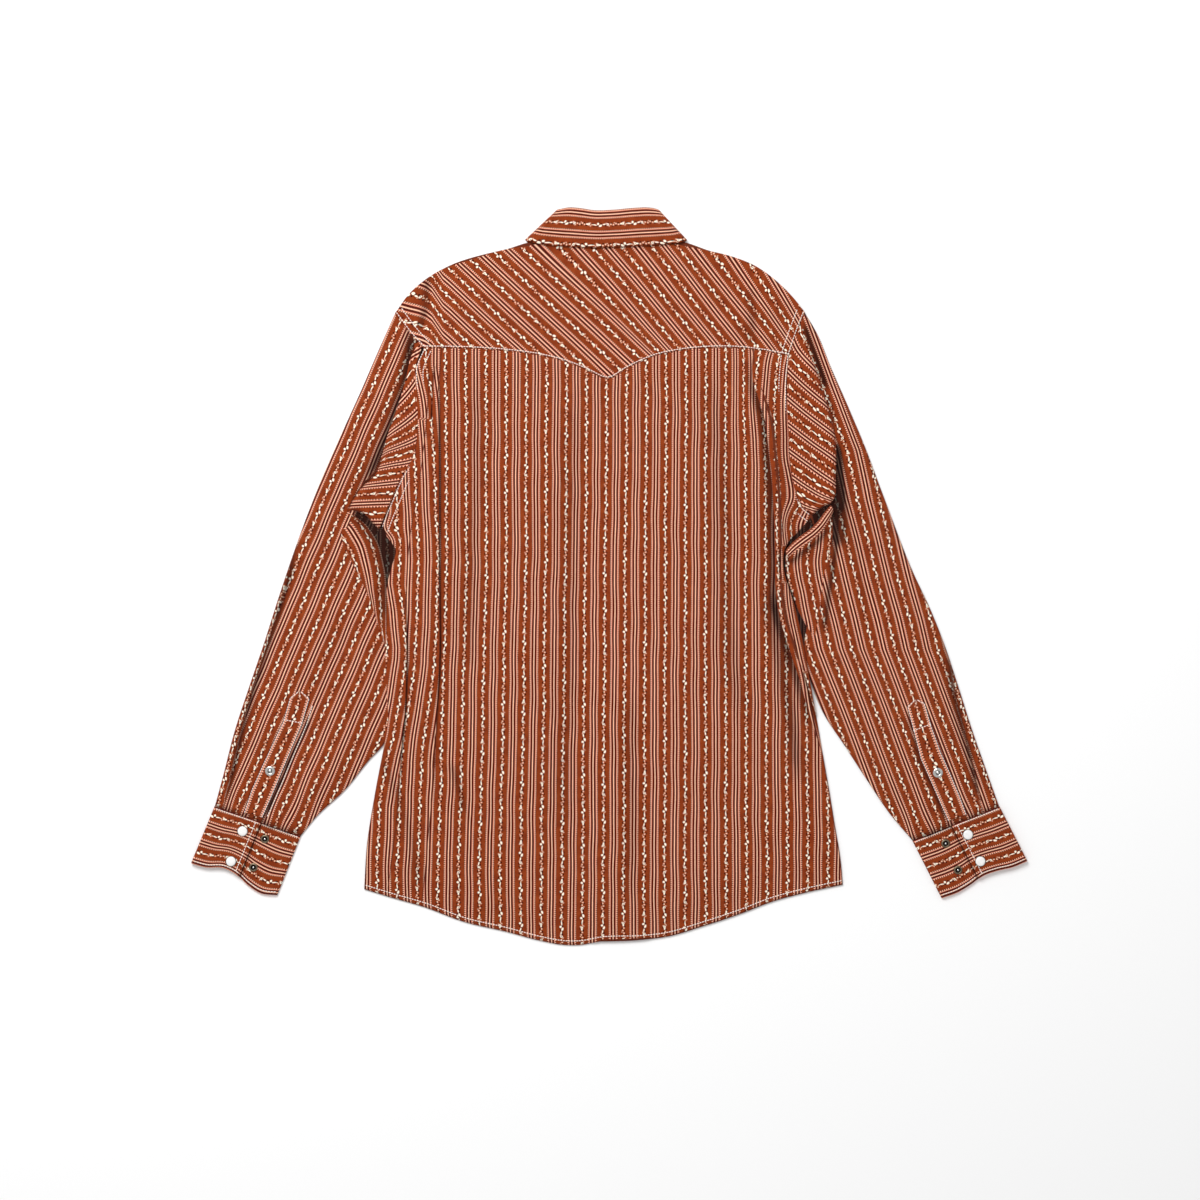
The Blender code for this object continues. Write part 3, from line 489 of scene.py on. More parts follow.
def patch(top, bottom, left, right, rows, columns):
    """A grid in plan between four border curves: the two blends across and down are added,
    and the blend of the four corners is taken away once, which is a Coons patch."""
    u, v = np.linspace(0, 1, columns), np.linspace(0, 1, rows)
    top, bottom = smooth(top, u)[None], smooth(bottom, u)[None]
    left, right = smooth(left, v)[:, None], smooth(right, v)[:, None]
    u, v = u[None, :, None], v[:, None, None]
    corners = ((1 - v) * ((1 - u) * top[:, :1] + u * top[:, -1:])
               + v * ((1 - u) * bottom[:, :1] + u * bottom[:, -1:]))
    return (1 - v) * top + v * bottom + (1 - u) * left + u * right - corners


print("a rolled edge of 5 mm rises to", rounded(np.array([0, 1, 2.5, 5]), 5).round(2), "of its height")

# %% [markdown]
# ## Camera, floor and light
#
# The camera looks straight down at the shirt from a little over three metres, as from the top
# of a copy stand, with an 85 mm lens.  The light is one large soft panel above, moved towards
# the collar, and a dim white room that fills the shadows.

# %% Camera
camera = bpy.data.objects.new("camera", bpy.data.cameras.new("camera"))
camera.data.lens = 85
camera.data.sensor_width = 36
camera.location = (-0.0104, -0.026, 3.205)
bpy.context.scene.collection.objects.link(camera)
bpy.context.scene.camera = camera
print("camera at", tuple(round(v, 3) for v in camera.location))

# %% Floor and light
floor_points = [(-6000, -6000, -0.1), (6000, -6000, -0.1), (6000, 6000, -0.1), (-6000, 6000, -0.1)]
floor = mesh_object("floor", floor_points, [(0, 1, 2, 3)], [plain("matt white paper", "#FAFAFA", 0.9)])


def area_light(name, place, target, size, power):
    """A square light that faces a point."""
    light = bpy.data.lights.new(name, "AREA")
    light.size, light.energy = size, power
    made = bpy.data.objects.new(name, light)
    made.location = place
    made.rotation_euler = (Vector(target) - Vector(place)).to_track_quat("-Z", "Y").to_euler()
    bpy.context.scene.collection.objects.link(made)


area_light("panel", (-0.9, 1.5, 2.2), (0.0, 0.0, 0.0), 1.3, 62)
world = bpy.data.worlds.new("white room")
bpy.context.scene.world = world
world.use_nodes = True
world.node_tree.nodes["Background"].inputs["Color"].default_value = (1, 1, 1, 1)
world.node_tree.nodes["Background"].inputs["Strength"].default_value = 0.62
bpy.context.scene.view_settings.view_transform = "Standard"
print("floor, one light and", world.name)

# %% [markdown]
# ## The body: back and yoke
#
# The back hangs from a yoke with a point in its middle.  It lies on the fronts, a little
# domed, and it carries three long creases from its last wash.  It could be modelled by hand,
# but some twenty-five places to a side are enough for its outline, so it is drawn from them.

# %% Outlines of the body
# Places in mm from the middle of the part, as seen from above: shoulders, seam and hem run from
# left to right, and the two edges from the shoulder to the hem.
SHOULDERS = [(-242, 298), (-225, 321), (-213, 332), (-192, 346), (-154, 359), (-118, 370), (-92, 374),
             (-78, 377), (-50, 379), (-4, 379.5), (43, 379), (71, 377), (85, 374), (115, 368),
             (139, 362), (164, 352), (197, 327), (215, 307), (221, 299)]
YOKE_SEAM = [(-210, 259), (-155, 258), (-112, 255), (-77, 250), (-46, 242), (-26, 234),
             (-1, 224), (21, 236), (53, 250), (76, 255), (119, 259), (154, 258), (203.5, 250)]
LEFT_EDGE = [(-242, 298), (-223, 273), (-210, 259), (-219, 236), (-218, 210), (-216, 175), (-218, 150),
             (-224, 130), (-235, 112), (-245, 89), (-254, 68), (-259, 54), (-250, 43), (-242, 31),
             (-246, 14), (-250, 0), (-253, -16), (-255, -41), (-255, -90), (-254, -128), (-250, -162),
             (-253, -182), (-264, -240), (-274, -304), (-277, -353)]
RIGHT_EDGE = [(221, 299), (210, 270), (203.5, 250), (201, 221), (201, 196), (202, 165), (205, 120),
              (211, 95), (219, 79), (230, 70), (216, 53), (200, 35), (196.5, 20), (198, 4), (204, -15),
              (211, -37), (217, -63), (221, -84), (224.5, -104), (229.5, -133), (235.5, -165), (242, -203),
              (249, -243), (254, -274), (262, -324), (264, -348)]
HEM = [(-277, -353), (-248, -362), (-210, -373), (-164, -390), (-117, -401), (-79, -411),
       (-51, -416), (-32, -416), (-10, -412), (39, -410), (64, -407), (106, -395),
       (151, -380), (182, -368), (222, -357), (264, -348)]
# Where the back's outer side stops being held up by the sleeve beside it, it rolls down.  Below
# the underarm that is the back's own edge.
LEFT_ROLL = [(-242, 298), (-275, 240), (-300, 190), (-300, 150), (-280, 112), (-262, 80), (-256, 55),
             *LEFT_EDGE[12:]]
RIGHT_ROLL = [(221, 299), (255, 240), (275, 190), (275, 150), (258, 112), (242, 88), *RIGHT_EDGE[9:]]
print("width at the hem %.0f mm, length at the middle %.0f mm"
      % (HEM[-1][0] - HEM[0][0], 379.5 - y_at(HEM, 0)))

# %% [markdown]
# ### How high the back lies
#
# The real back rests on the fronts, rises a little towards its middle and rolls down at its
# edges.  The height is one formula of the place in plan, so that the stitches, the yoke and
# the snaps can ask for it later.  Light does the rest: where the cloth turns away from it, a
# share of shade stands for what is too fine for the mesh.

# %% Swells and shade
SWELLS = [
    Fold(2.0, 26, 14, [(135, 235), (148, 150), (156, 40), (166, -60), (190, -150), (212, -240)]),
    Fold(-1.5, 20, 26, [(-38, 200), (-46, 60), (-46, -90), (-54, -250)]),
    Fold(1.0, 40, 40, [(60, 160), (64, 0), (62, -200)]),
    Fold(1.2, 30, 30, [(-120, 200), (-124, 40), (-130, -180), (-134, -300)]),
    Fold(1.6, 26, 26, [(-198, 322), (-120, 310), (-60, 286)]),
    Fold(2.2, 14, 20, [(196, 316), (166, 300), (128, 268)]),
    Fold(-2.6, 6, 9, [(-210, 342), (-206, 318), (-203, 292), (-208, 272)]),
    Fold(-2.4, 8, 6, [(160, 324), (166, 296), (165, 268), (161, 248)]),
    Fold(1.6, 7, 7, [(-182, -218), (-174, -236), (-168, -262)]),
    Fold(-1.4, 8, 8, [(-172, -214), (-164, -236), (-158, -258)]),
    Fold(-1.2, 10, 14, [(-160, -260), (-90, -330), (-30, -372)]),
    Fold(1.0, 12, 16, [(40, -300), (110, -330), (190, -330)]),
]

# Where the cloth turns away from the light, as shares of shade.
CREASED = [
    Fold(0.16, 10, 14, [(-36, 240), (-38, 200), (-42, 60), (-44, -90), (-52, -250), (-54, -330)]),
    Fold(0.45, 3, 5, [(-178, -208), (-170, -236), (-162, -268)]),
    Fold(0.20, 8, 8, [(-150, 250), (-150, 140), (-156, 20), (-160, -120)]),
    Fold(0.22, 8, 14, [(112, 252), (124, 160), (130, 40), (138, -80), (160, -190)]),
    Fold(0.18, 10, 10, [(20, -120), (24, -240), (22, -380)]),
    Fold(0.50, 7, 7, [(178, 0), (184, -50), (196, -110), (206, -170), (214, -240)]),
    Fold(0.25, 4, 6, [(-262, -190), (-222, -300), (-214, -360)]),
]
print(len(SWELLS), "swells,", len(CREASED), "shades")

# %% The height of the back
LAYER_STEP = 1.5        # what the collar points and the placket lift, mm
EDGE_HEIGHT = 1.5       # top of the back at its rolled edge, mm
BACK_HEIGHT = 3.0       # inside that edge, mm
DOME = 2.4              # and how much higher its middle is, mm


def front_lift(x, y, over_placket=True):
    """Underside of the fronts: flat, and one layer up over the collar points and the placket."""
    collar = smoothstep((y - 212) / 14) * smoothstep((150 - np.abs(x)) / 14)
    placket = smoothstep((52 - x) / 14) * smoothstep((x + 19) / 2) if over_placket else 0.0
    return LAYER_STEP * np.maximum(collar, placket)


def body_edge(x, y):
    """About how far a point lies inside the garment's rolled outer edges."""
    sides = np.minimum(x - x_at(LEFT_ROLL, y), x_at(RIGHT_ROLL, y) - x)
    ends = np.minimum((y - y_at(HEM, x)) * 0.97, (y_at(SHOULDERS, x) - y) * 0.88)
    return np.minimum(sides, ends)


def body_height(x, y):
    """Top of the back: rolled down at its edges, a low dome, soft swells and ripples."""
    edge = body_edge(x, y)
    uneven = (folded(x, y, SWELLS) + ripples(x, y)) * smoothstep(edge / 14)
    full = BACK_HEIGHT + DOME * smoothstep(edge / 45) + uneven
    rolled = EDGE_HEIGHT + (full - EDGE_HEIGHT) * rounded(edge, 7)
    return np.maximum(rolled, front_lift(x, y) + 1.6)


print("height of the back at its middle: %.1f mm" % body_height(np.array([0.0]), np.array([0.0]))[0])

# %% [markdown]
# ## Knife folds
#
# A crease that was washed and pressed in is a knife fold: seen along it, the cloth makes a flat
# Z.  A ridge could only bulge, so the grid itself goes through the Z: thirteen of its columns
# have stations in each fold, and the fold opens and closes on the way down as its lap changes.

# %% Three creases
Crease = namedtuple("Crease", "path laps rise reach from_y to_y tucks_right")
# laps: how far the cloth laps over itself, by y.  rise: how high the upper layer lies.  reach:
# how far it takes to settle.  All are in mm, and the crease runs from from_y down to to_y.
Station = namedtuple("Station", "side lap height")
# side: mm from the crease.  lap: share of the lap.  height: share of the rise.
KNIFE = [Station(-7, 0, 0.92), Station(-3, 0, 1), Station(-1.2, 0, 0.97), Station(-0.2, 0, 0.85),
         Station(0.2, 0, 0.66), Station(0.1, -0.25, 0.5), Station(0, -0.8, 0.42),
         Station(0, -1, 0.34), Station(0.2, -0.9, 0.22), Station(0.6, -0.3, 0.12),
         Station(1.2, 0, 0.06), Station(3, 0, 0.02), Station(6, 0, 0)]
CREASE_SIDE = Crease([(-203, 259), (-206, 175), (-216, 100), (-226, 40), (-229, -24), (-229, -102),
                      (-231, -154), (-235, -196), (-238, -252), (-250, -353)],
                     [(-262, 0), (-180, 5.3), (-80, 5.5), (-40, 3), (-10, 0)], 3.2, 14, -10, -262, False)
CREASE_ARM = Crease([(-189, 260), (-192, 217), (-192, 120), (-192, 0), (-192, -102), (-195, -154),
                     (-197, -215), (-205, -300), (-212, -368)],
                    [(-215, 0), (-100, 5.5), (19, 5.9), (143, 3.4), (200, 1.8), (236, 0)], 3.8, 18, 236, -215,
                    False)
CREASE_DEEP = Crease([(162, 260), (163, 218), (170, 196), (176, 175), (180, 141), (184, 100),
                      (186, 60), (187, 24), (187, 9), (188.5, -22), (191.5, -42), (198.5, -67), (206.5, -92),
                      (215, -116), (222, -141), (229, -163), (235, -182), (241, -200), (262, -300),
                      (270, -360)],
                     [(-180, 0), (-90, 9), (200, 9), (262, 0)], 5.8, 12, 262, -200, True)
CREASES = (CREASE_SIDE, CREASE_ARM, CREASE_DEEP)        # from left to right
print("widest laps:", [max(lap for _, lap in crease.laps) for crease in CREASES], "mm")


# %% Columns through a crease
def strength(crease, y):
    """How much of a crease is there at y: it fades over 70 mm at its top and 90 at its end."""
    return smoothstep((crease.from_y - y) / 70) * smoothstep((y - crease.to_y) / 90)


def squeeze(crease, y):
    """How much room a fold that tucks to the right has before the cloth's edge: 1, less near
    it, and almost none where the fold runs out over the edge."""
    if not crease.tucks_right:
        return np.ones_like(y)
    return np.clip((x_at(RIGHT_EDGE, y) - x_at(crease.path, y)) / 14, 0.02, 1)


def stations_of(crease):
    """The crease's columns from left to right: a fold that tucks to the right is mirrored."""
    if crease.tucks_right:
        return np.array([(-s.side, -s.lap, s.height) for s in KNIFE[::-1]]).T
    return np.array(KNIFE).T


def crease_x(crease, side, lap, y):
    """x of a fold's columns: its path, but not beyond the edge, plus side and lap."""
    laps = np.interp(y, *np.array(crease.laps, dtype=float).T)
    room = np.where(side + lap * laps > 0, squeeze(crease, y), 1.0)
    return np.minimum(x_at(crease.path, y), x_at(RIGHT_EDGE, y) - 0.6) + (side + lap * laps) * room


# %% The back's grid
BACK_COUNTS = (8, 6, 92, 12)            # columns before, between and after the three creases


def back_columns(y, counts):
    """x and lift of every column, read at each point's own y: columns through a fold follow
    its path, and those between two folds, or a fold and an edge, are spread evenly."""
    folds = [stations_of(crease) for crease in CREASES]
    starts = [lambda y: x_at(LEFT_EDGE, y)]
    starts += [functools.partial(crease_x, c, f[0, -1], 0.0) for c, f in zip(CREASES, folds)]
    stops = [functools.partial(crease_x, c, f[0, 0], 0.0) for c, f in zip(CREASES, folds)]
    stops += [lambda y: x_at(RIGHT_EDGE, y)]
    x, lift, at = [], [], 0
    for k, count in enumerate(counts):
        part = np.linspace(0, 1, count + 2)[int(k > 0):count + 2 - int(k < len(CREASES))]
        here = y[:, at:at + len(part)]
        start, stop = starts[k](here), stops[k](here)
        x.append(start * (1 - part) + stop * part)
        lift.append(np.zeros_like(here))
        at += len(part)
        if k < len(CREASES):
            here = y[:, at:at + len(KNIFE)]
            side, lap, height = folds[k]
            x.append(crease_x(CREASES[k], side, lap, here))
            lift.append(height * CREASES[k].rise * strength(CREASES[k], here))
            at += len(KNIFE)
    x, lift = np.hstack(x), np.hstack(lift)
    for crease in CREASES:                      # the upper layer settles with distance
        away = (x - x_at(crease.path, y)) * (1 if crease.tucks_right else -1) - 7
        settle = crease.rise * strength(crease, y) * np.exp(-(away / crease.reach)**2)
        lift = np.where(away > 0, np.maximum(lift, settle), lift)
    return x, lift


def back_grid(rows=230, counts=BACK_COUNTS):
    """Rows from the yoke seam to the hem: y blends from the seam's to the hem's, read at each
    point's x, and x follows y, so the two are worked out in turn a few times, from level rows."""
    total = sum(counts) + 2 + len(CREASES) * len(KNIFE)
    down = np.linspace(0, 1, rows)[:, None]
    y = np.repeat(255 - 640 * down, total, axis=1)
    for _ in range(6):
        x, lift = back_columns(y, counts)
        y = (y_at(YOKE_SEAM, x) + 4) * (1 - down) + y_at(HEM, x) * down
    return x, y, lift


x, y, lift = back_grid()
under_yoke = smoothstep((y - y_at(YOKE_SEAM, x) + 6) / 6)
z = body_height(x, y) + lift - 0.4 * under_yoke
print("back grid:", x.shape, "top at %.1f mm" % z.max())

# %% [markdown]
# ## The print on the back
#
# The stripes belong to the flat cloth and not to the room, so they have to run into a fold and
# come out of it again.  A projection from above can't do that.  Instead the length along each
# row, up and down through its folds, is the place across the cloth.  Washed cotton is never
# true, so each half is pulled by a few hundredths, and at the armholes, where the cloth was
# turned and stretched in sewing, the stripes follow the seam.

# %% Where the print lies
RIM_COLUMN = sum(BACK_COUNTS[:3]) + 1 + len(CREASES) * len(KNIFE) - 5       # on the deep fold's rim


def waver(x, y):
    """How far the printed stripes stray sideways: washed cotton shrinks and slants unevenly."""
    return (0.22 * np.sin(y / 14 + x / 19) + 0.30 * np.sin(y / 31 - x / 37 + 1.1)
            + 0.16 * np.sin(y / 8.5 + x / 13 + 2.3))


def row_length(x, y, z):
    """The length along each row, counted from the back's middle, times each half's pull."""
    middle = np.abs(x[:1]).argmin()
    step = np.hypot(np.diff(x, axis=1), np.diff(z, axis=1))
    across = np.concatenate([np.zeros((len(x), 1)), np.cumsum(step, axis=1)], axis=1)
    across += (x - across)[:, middle:middle + 1] + np.interp(y, (-330, 0, 200), (7, 5, 2.5))
    pull_left = np.interp(y, (-330, 19, 200), (0.978, 1.02, 1.0))
    pull_right = np.interp(y, (-330, 19, 200), (0.985, 1.005, 1.022))
    return across * np.where(across < 0, pull_left, pull_right)


def beyond_rim(across, x, y):
    """Beyond the deep fold's rim the cloth has turned.  Low down, so much of it lies between
    the back's middle and the rim, and it goes on from there.  Along the armhole, across is the
    distance from the seam.  The two blend over 34 mm from y = 92 on."""
    across, x, y = across[:, RIM_COLUMN:], x[:, RIM_COLUMN:], y[:, RIM_COLUMN:]
    to_rim = np.interp(y[:, :1], (-200, -163, -42, -10), (197, 192.8, 178.4, 177.6))
    below = across - across[:, :1] + to_rim + REPEAT
    above = x - x_at(RIGHT_EDGE, y) + 9.5 * REPEAT + np.interp(y, (100, 200, 250), (4.6, 3, 0))
    turned = smoothstep((y - 92) / 34)
    return below * (1 - turned) + above * turned


def corner_leans(x, y):
    """At the underarms the corners are pulled along the seam, so the stripes lean: a slope of
    y times a bell round the corner, one way on the right and the other on the left."""
    right = -0.62 * (y - 74) * np.exp(-((x - 210) / 17)**2 - ((y - 74) / 27)**2)
    return right + 0.8 * (y - 48) * np.exp(-((x + 250)**2 + (y - 48)**2) / 14**2)


across = row_length(x, y, z)
by_yoke = smoothstep((x - 135) / 30) * smoothstep((y - 150) / 50)
across[:, :RIM_COLUMN] += 4 * by_yoke[:, :RIM_COLUMN]               # pulled towards the deep fold
across[:, RIM_COLUMN:] = beyond_rim(across, x, y)
across += corner_leans(x, y) + waver(x, y)
print("the back's cloth is %.0f mm wide at its hem" % np.ptp(across[-1]))


# %% Shade in the creases, and the back
def crease_shade(crease, x, y, lift):
    """Dark on the crease's low side, where the upper layer hangs over it, and fading out."""
    low_side = (x - x_at(crease.path, y)) * (-1 if crease.tucks_right else 1)
    full, fade, dark = (4.0, 6.0, 0.72) if crease.tucks_right else (0.6, 2.6, 1.0)
    force = strength(crease, y)
    below = (low_side > -9) & (lift < 0.55 * crease.rise * force)
    return dark * force * (1 - smoothstep((low_side - full) / fade)) * below


# Painted shade on the back: dark on each crease's low side, and along the CREASED paths.
hollow = np.max([crease_shade(crease, x, y, lift) for crease in CREASES], axis=0)
hollow = np.clip(hollow + folded(x, y, CREASED), 0, 1)
back = sew("back", [panel(stack(x, y, z), stack(across, y), hollow)])

# %% [markdown]
# ## The yoke
#
# The yoke is cut on the bias, so its stripes fall at 43 to 62 degrees across the shoulders.  One
# turned projection would keep them parallel, but the real ones fan out, because the cloth was
# stretched along its seams.  So each point is followed along its own stripe to one level line,
# and the vines are counted there.

# %% Vines on the yoke
VINE_LEVEL = 312.7      # the level line on which they are counted, mm
VINES_X = [-278.9, -244.9, -210.9, -177.0, -143.1, -108.1, -72.0, -35.3, 0.3, 32.5, 64.1, 95.1,
           125.0, 156.1, 185.5, 213.0, 240.0]
FIRST_VINE = -3
# How steeply the stripes fall on that line, in degrees, by x.
FALL = [(-250, 43), (-20, 43), (0, 46.5), (32, 49.6), (64, 50.5), (95, 52.0), (140, 51.5),
        (180, 57), (215, 62)]
# At the left shoulder the cloth is pulled round: how far a stripe has risen there, by x.
TURN = [(-245, 41), (-225, 35.5), (-215, 33), (-207, 30), (-200, 24.5), (-195, 17), (-188, 7), (-180, 0)]
YOKE_LAP = 0.75         # how much higher the yoke lies than the back, mm
UNDER_COLLAR = 4.3      # the most that fits under the collar, mm


def bias_cloth(x, y):
    """Place in the flat cloth of the yoke.  Each point is followed along its stripe to the
    level line, x0 = x - (level - y) / tan(fall at x0), and the vines are counted there."""
    along = x * math.cos(0.78) - y * math.sin(0.78)
    y = y - np.interp(x, *np.array(TURN, dtype=float).T)
    x = np.maximum(x, -180)
    x0 = x + 0.0
    for _ in range(30):
        fall = np.radians(np.interp(x0, *np.array(FALL, dtype=float).T))
        x0 = 0.5 * x0 + 0.5 * (x - (VINE_LEVEL - y) / np.tan(fall))
    across = REPEAT * np.interp(x0, VINES_X, np.arange(len(VINES_X)) + FIRST_VINE)
    return stack(across + 0.8 * waver(x, y), along)


def yoke_height(x, y):
    """The yoke laps over the back by one layer, and passes under the collar."""
    under_collar = smoothstep((y - 359) / 11) * smoothstep((112 - np.abs(x)) / 12)
    top = np.maximum(body_height(x, y), 3.4) + YOKE_LAP
    return top * (1 - under_collar) + np.minimum(top, UNDER_COLLAR) * under_collar


# %% The yoke
grid = patch(SHOULDERS, YOKE_SEAM, LEFT_EDGE[:3], RIGHT_EDGE[:3], 90, 190)
x, y = grid[..., 0], grid[..., 1]
above_seam = np.maximum(y - y_at(YOKE_SEAM, x), 0)
z = yoke_height(x, y) - 0.9 * (1 - rounded(above_seam, 1.5))
# Painted shade along the two shoulder creases.
shade = folded(x, y, [Fold(0.55, 3, 5, [(-204, 345), (-206, 322), (-208, 300), (-216, 276)]),
                      Fold(0.25, 4, 6, [(158, 330), (162, 300), (160, 262)])])
yoke = sew("back_yoke", [panel(stack(x, y, z), bias_cloth(x, y), np.clip(shade, 0, 1))])

# %% [markdown]
# ## The fronts, under the back
#
# The fronts lie on the floor with their right side down, and only their edges show from above.
# They are flat, apart from one layer's step over the collar points and the placket.  The
# placket is a separate folded strip with the row of snaps.

# %% Fronts and placket
Front = namedtuple("Front", "top outer centre hem")
FRONTS = {
    "left": Front([(-242, 298), (-192, 346), (-118, 370), (-78, 377), (-70, 345), (-48, 314), (-17.4, 299)],
                  LEFT_EDGE, -17.4, [p for p in HEM if p[0] < -17.4] + [(-17.4, -412.3)]),
    "right": Front([(221, 299), (164, 352), (115, 368), (71, 377), (63, 345), (42, 314), (16, 300),
                    (-15, 298.5)],
                   RIGHT_EDGE, -15.0, [p for p in HEM[::-1] if p[0] > -15.0] + [(-15.0, -412.0)]),
}
STRIP_HALF = 17         # half the placket's width, mm


def front_panel(side):
    """Half of the front, from shoulder to hem, with its right side down: the columns run from
    the garment's outer edge to the middle, and the left one's order is turned over."""
    front = FRONTS[side]
    middle = [(front.centre, 299), (front.centre, -412)]
    grid = patch(front.top, front.hem, front.outer, middle, 100, 50)
    x, y = grid[..., 0], grid[..., 1]
    edge_roll = 1.35 * (1 - rounded(np.maximum(body_edge(x, y), 0), 5))
    z = front_lift(x, y, over_placket=side == "right") + edge_roll
    return panel(stack(x, y, z), stack(x + 4, y), turned=side == "left")


front_left = sew("front_left", [front_panel("left")])
front_right = sew("front_right", [front_panel("right")])
y, x = np.meshgrid(np.linspace(297, -408, 120), np.linspace(STRIP_HALF, -STRIP_HALF, 12), indexing="ij")
z = 0.15 + 0.7 * (1 - rounded(STRIP_HALF - np.abs(x), 2))
front_placket = sew("front_placket", [panel(stack(x, y, z), stack(x, y))], wall=0.6)

# %% [markdown]
# ## Sleeves
#
# A sleeve is a flat tube.  The cloth near the underarm has no room to lie flat, so it folds:
# one part comes out of the armhole and ends in a rolled lip, and below it a tongue of cloth
# lies on the forearm.  The tube is a closed grid, and each folded part is a grid of its own on
# top of it, whose edges roll down to the layer below.  All of them are one piece of cloth.

# %% Outlines and folds of the sleeves
# shades: paths along which shade is painted into the colour, beside valleys, slits, the cuff seam and the
# underarm cavities.
Arm = namedtuple("Arm", "outer inner folds shades")
ARMS = {
    "left": Arm(
        [(-242, 298), (-263, 251), (-283, 205), (-303, 161), (-334, 89), (-353, 38), (-376, -30),
         (-389, -71), (-407, -124), (-424, -176), (-436, -223), (-446, -260)],
        [(-258, 55), (-272, 26), (-273, -8), (-262, -48), (-253, -78), (-249, -110), (-246, -150),
         (-253, -186), (-273, -209), (-298, -240), (-331, -271), (-349, -293)],
        [Fold(2.2, 16, 16, [(-262, 225), (-290, 160), (-318, 90), (-334, 40)]),
         Fold(-3.2, 6, 6, [(-226, 262), (-231, 218), (-254, 150), (-281, 100), (-303, 58)]),
         Fold(-3.4, 8, 4, [(-352, 20), (-360, -9), (-367, -24), (-382, -69), (-407, -145), (-418, -187),
                           (-430, -240), (-436, -262)]),
         Fold(2.6, 5, 14, [(-360, 10), (-374, -24), (-389, -69), (-412, -145), (-424, -187), (-438, -250)]),
         Fold(2.4, 20, 20, [(-312, -10), (-338, -70), (-366, -140), (-388, -205)]),
         Fold(-1.8, 12, 12, [(-290, -50), (-320, -130), (-352, -210)]),
         Fold(1.8, 12, 12, [(-268, -100), (-288, -160), (-326, -226), (-346, -262)]),
         Fold(2.0, 3, 3, [(-372, -238), (-368, -262), (-362, -300)]),
         Fold(1.8, 3, 3, [(-388, -262), (-384, -274), (-380, -300)]),
         Fold(1.8, 3, 3, [(-404, -226), (-412, -254), (-418, -285)]),
         Fold(1.6, 3, 3, [(-428, -228), (-432, -250), (-434, -280)])],
        [Fold(0.85, 3.6, 2.6, [(-350, 60), (-361, 6), (-369, -24), (-383, -69), (-407, -145), (-418, -187),
                               (-430, -240), (-440, -275)]),
         Fold(1.5, 2.0, 2.0, [(-336, -150), (-343, -170), (-358, -201), (-367, -222), (-379, -248),
                              (-394, -282)]),
         Fold(0.6, 4, 4, [(-490, -245), (-440, -261), (-349, -292), (-305, -307)]),
         Fold(0.95, 6, 7, [(-221, 296), (-226, 250), (-231, 218), (-246, 172), (-262, 132), (-280, 96)])]),
    "right": Arm(
        [(221, 299), (234, 277), (251, 236), (269, 195), (288, 150), (311, 89), (345, 2), (362, -34),
         (377, -71), (396, -128), (410, -172), (425, -215), (441, -260)],
        [(230, 70), (235, 42), (235, 8), (228, -34), (222, -62), (220, -84), (226, -112), (240, -150),
         (267, -192), (293, -232), (316, -266), (343, -298)],
        [Fold(2.2, 14, 14, [(250, 216), (276, 150), (300, 80), (318, 24)]),
         Fold(-4.2, 5, 9, [(232, 260), (250, 205), (262, 150), (267, 110), (273, 86), (283, 51), (291, 2),
                           (300, -60), (304, -90)]),
         Fold(3.2, 14, 3, [(262, 150), (271, 110), (279, 82), (290, 48), (297, 0), (306, -60)]),
         Fold(-3.2, 4, 8, [(378, -60), (386, -92), (390, -130), (400, -170), (409, -205), (420, -262)]),
         Fold(2.4, 12, 5, [(384, -60), (393, -100), (397, -130), (406, -162), (418, -205), (432, -250)]),
         Fold(2.4, 20, 20, [(318, -20), (338, -80), (362, -140), (380, -200)]),
         Fold(-1.8, 12, 12, [(280, -110), (306, -160), (340, -220)]),
         Fold(1.8, 10, 10, [(250, -110), (270, -160), (306, -212), (334, -255)]),
         Fold(2.0, 3, 3, [(352, -244), (358, -270), (362, -300)]),
         Fold(1.8, 3, 3, [(392, -238), (402, -262), (410, -290)]),
         Fold(1.8, 3, 3, [(408, -226), (416, -250), (424, -284)]),
         Fold(1.6, 3, 3, [(426, -228), (432, -250), (440, -284)])],
        [Fold(0.8, 2.6, 5.0, [(376, -50), (385, -92), (390, -130), (400, -170), (409, -205), (420, -262)]),
         Fold(0.9, 1.8, 1.8, [(334, -150), (342, -172), (350, -206), (362, -233), (372, -256), (384, -286)]),
         Fold(0.6, 4, 4, [(300, -314), (343, -297), (440, -260), (484, -243)]),
         Fold(1.0, 3, 4, [(219, 290), (227, 266), (236, 242), (243, 222), (247, 208)]),
         Fold(0.5, 2, 3, [(246, 212), (251, 190), (255, 168)]),
         Fold(2.2, 4, 3, [(255, 156), (258.5, 140), (260.5, 118), (261.5, 98), (260, 84), (256, 66)]),
         Fold(0.7, 5, 8, [(262, 104), (265, 86), (265, 60), (262, 30)]),
         Fold(0.8, 3, 4, [(258, 84), (257, 60), (256, 36), (252, 4), (248, -20), (245, -46), (239, -70)])]),
}
# wave: how far the free edge bows towards the seam, mm, from outer to inner edge.
Cuff = namedtuple("Cuff", "seam_outer seam_inner free_outer free_inner overlap wave")
CUFFS = {
    "left": Cuff((-445.3, -259), (-349, -292.5), (-472, -323.5), (-375.5, -359.5), 0.54,
                 (0.0, 1.5, 7.5, 6.0, -1.0, -4.3, 0.0)),
    "right": Cuff((440.3, -259), (343, -298), (472, -321), (376, -363), 0.55,
                  (0.0, 0.3, 3.5, 4.6, 1.0, -1.2, 0.0)),
}
ARMHOLES = {"left": LEFT_EDGE[:12], "right": RIGHT_EDGE[:10]}
print("sleeves: %d folds on the left, %d on the right" % tuple(len(arm.folds) for arm in ARMS.values()))


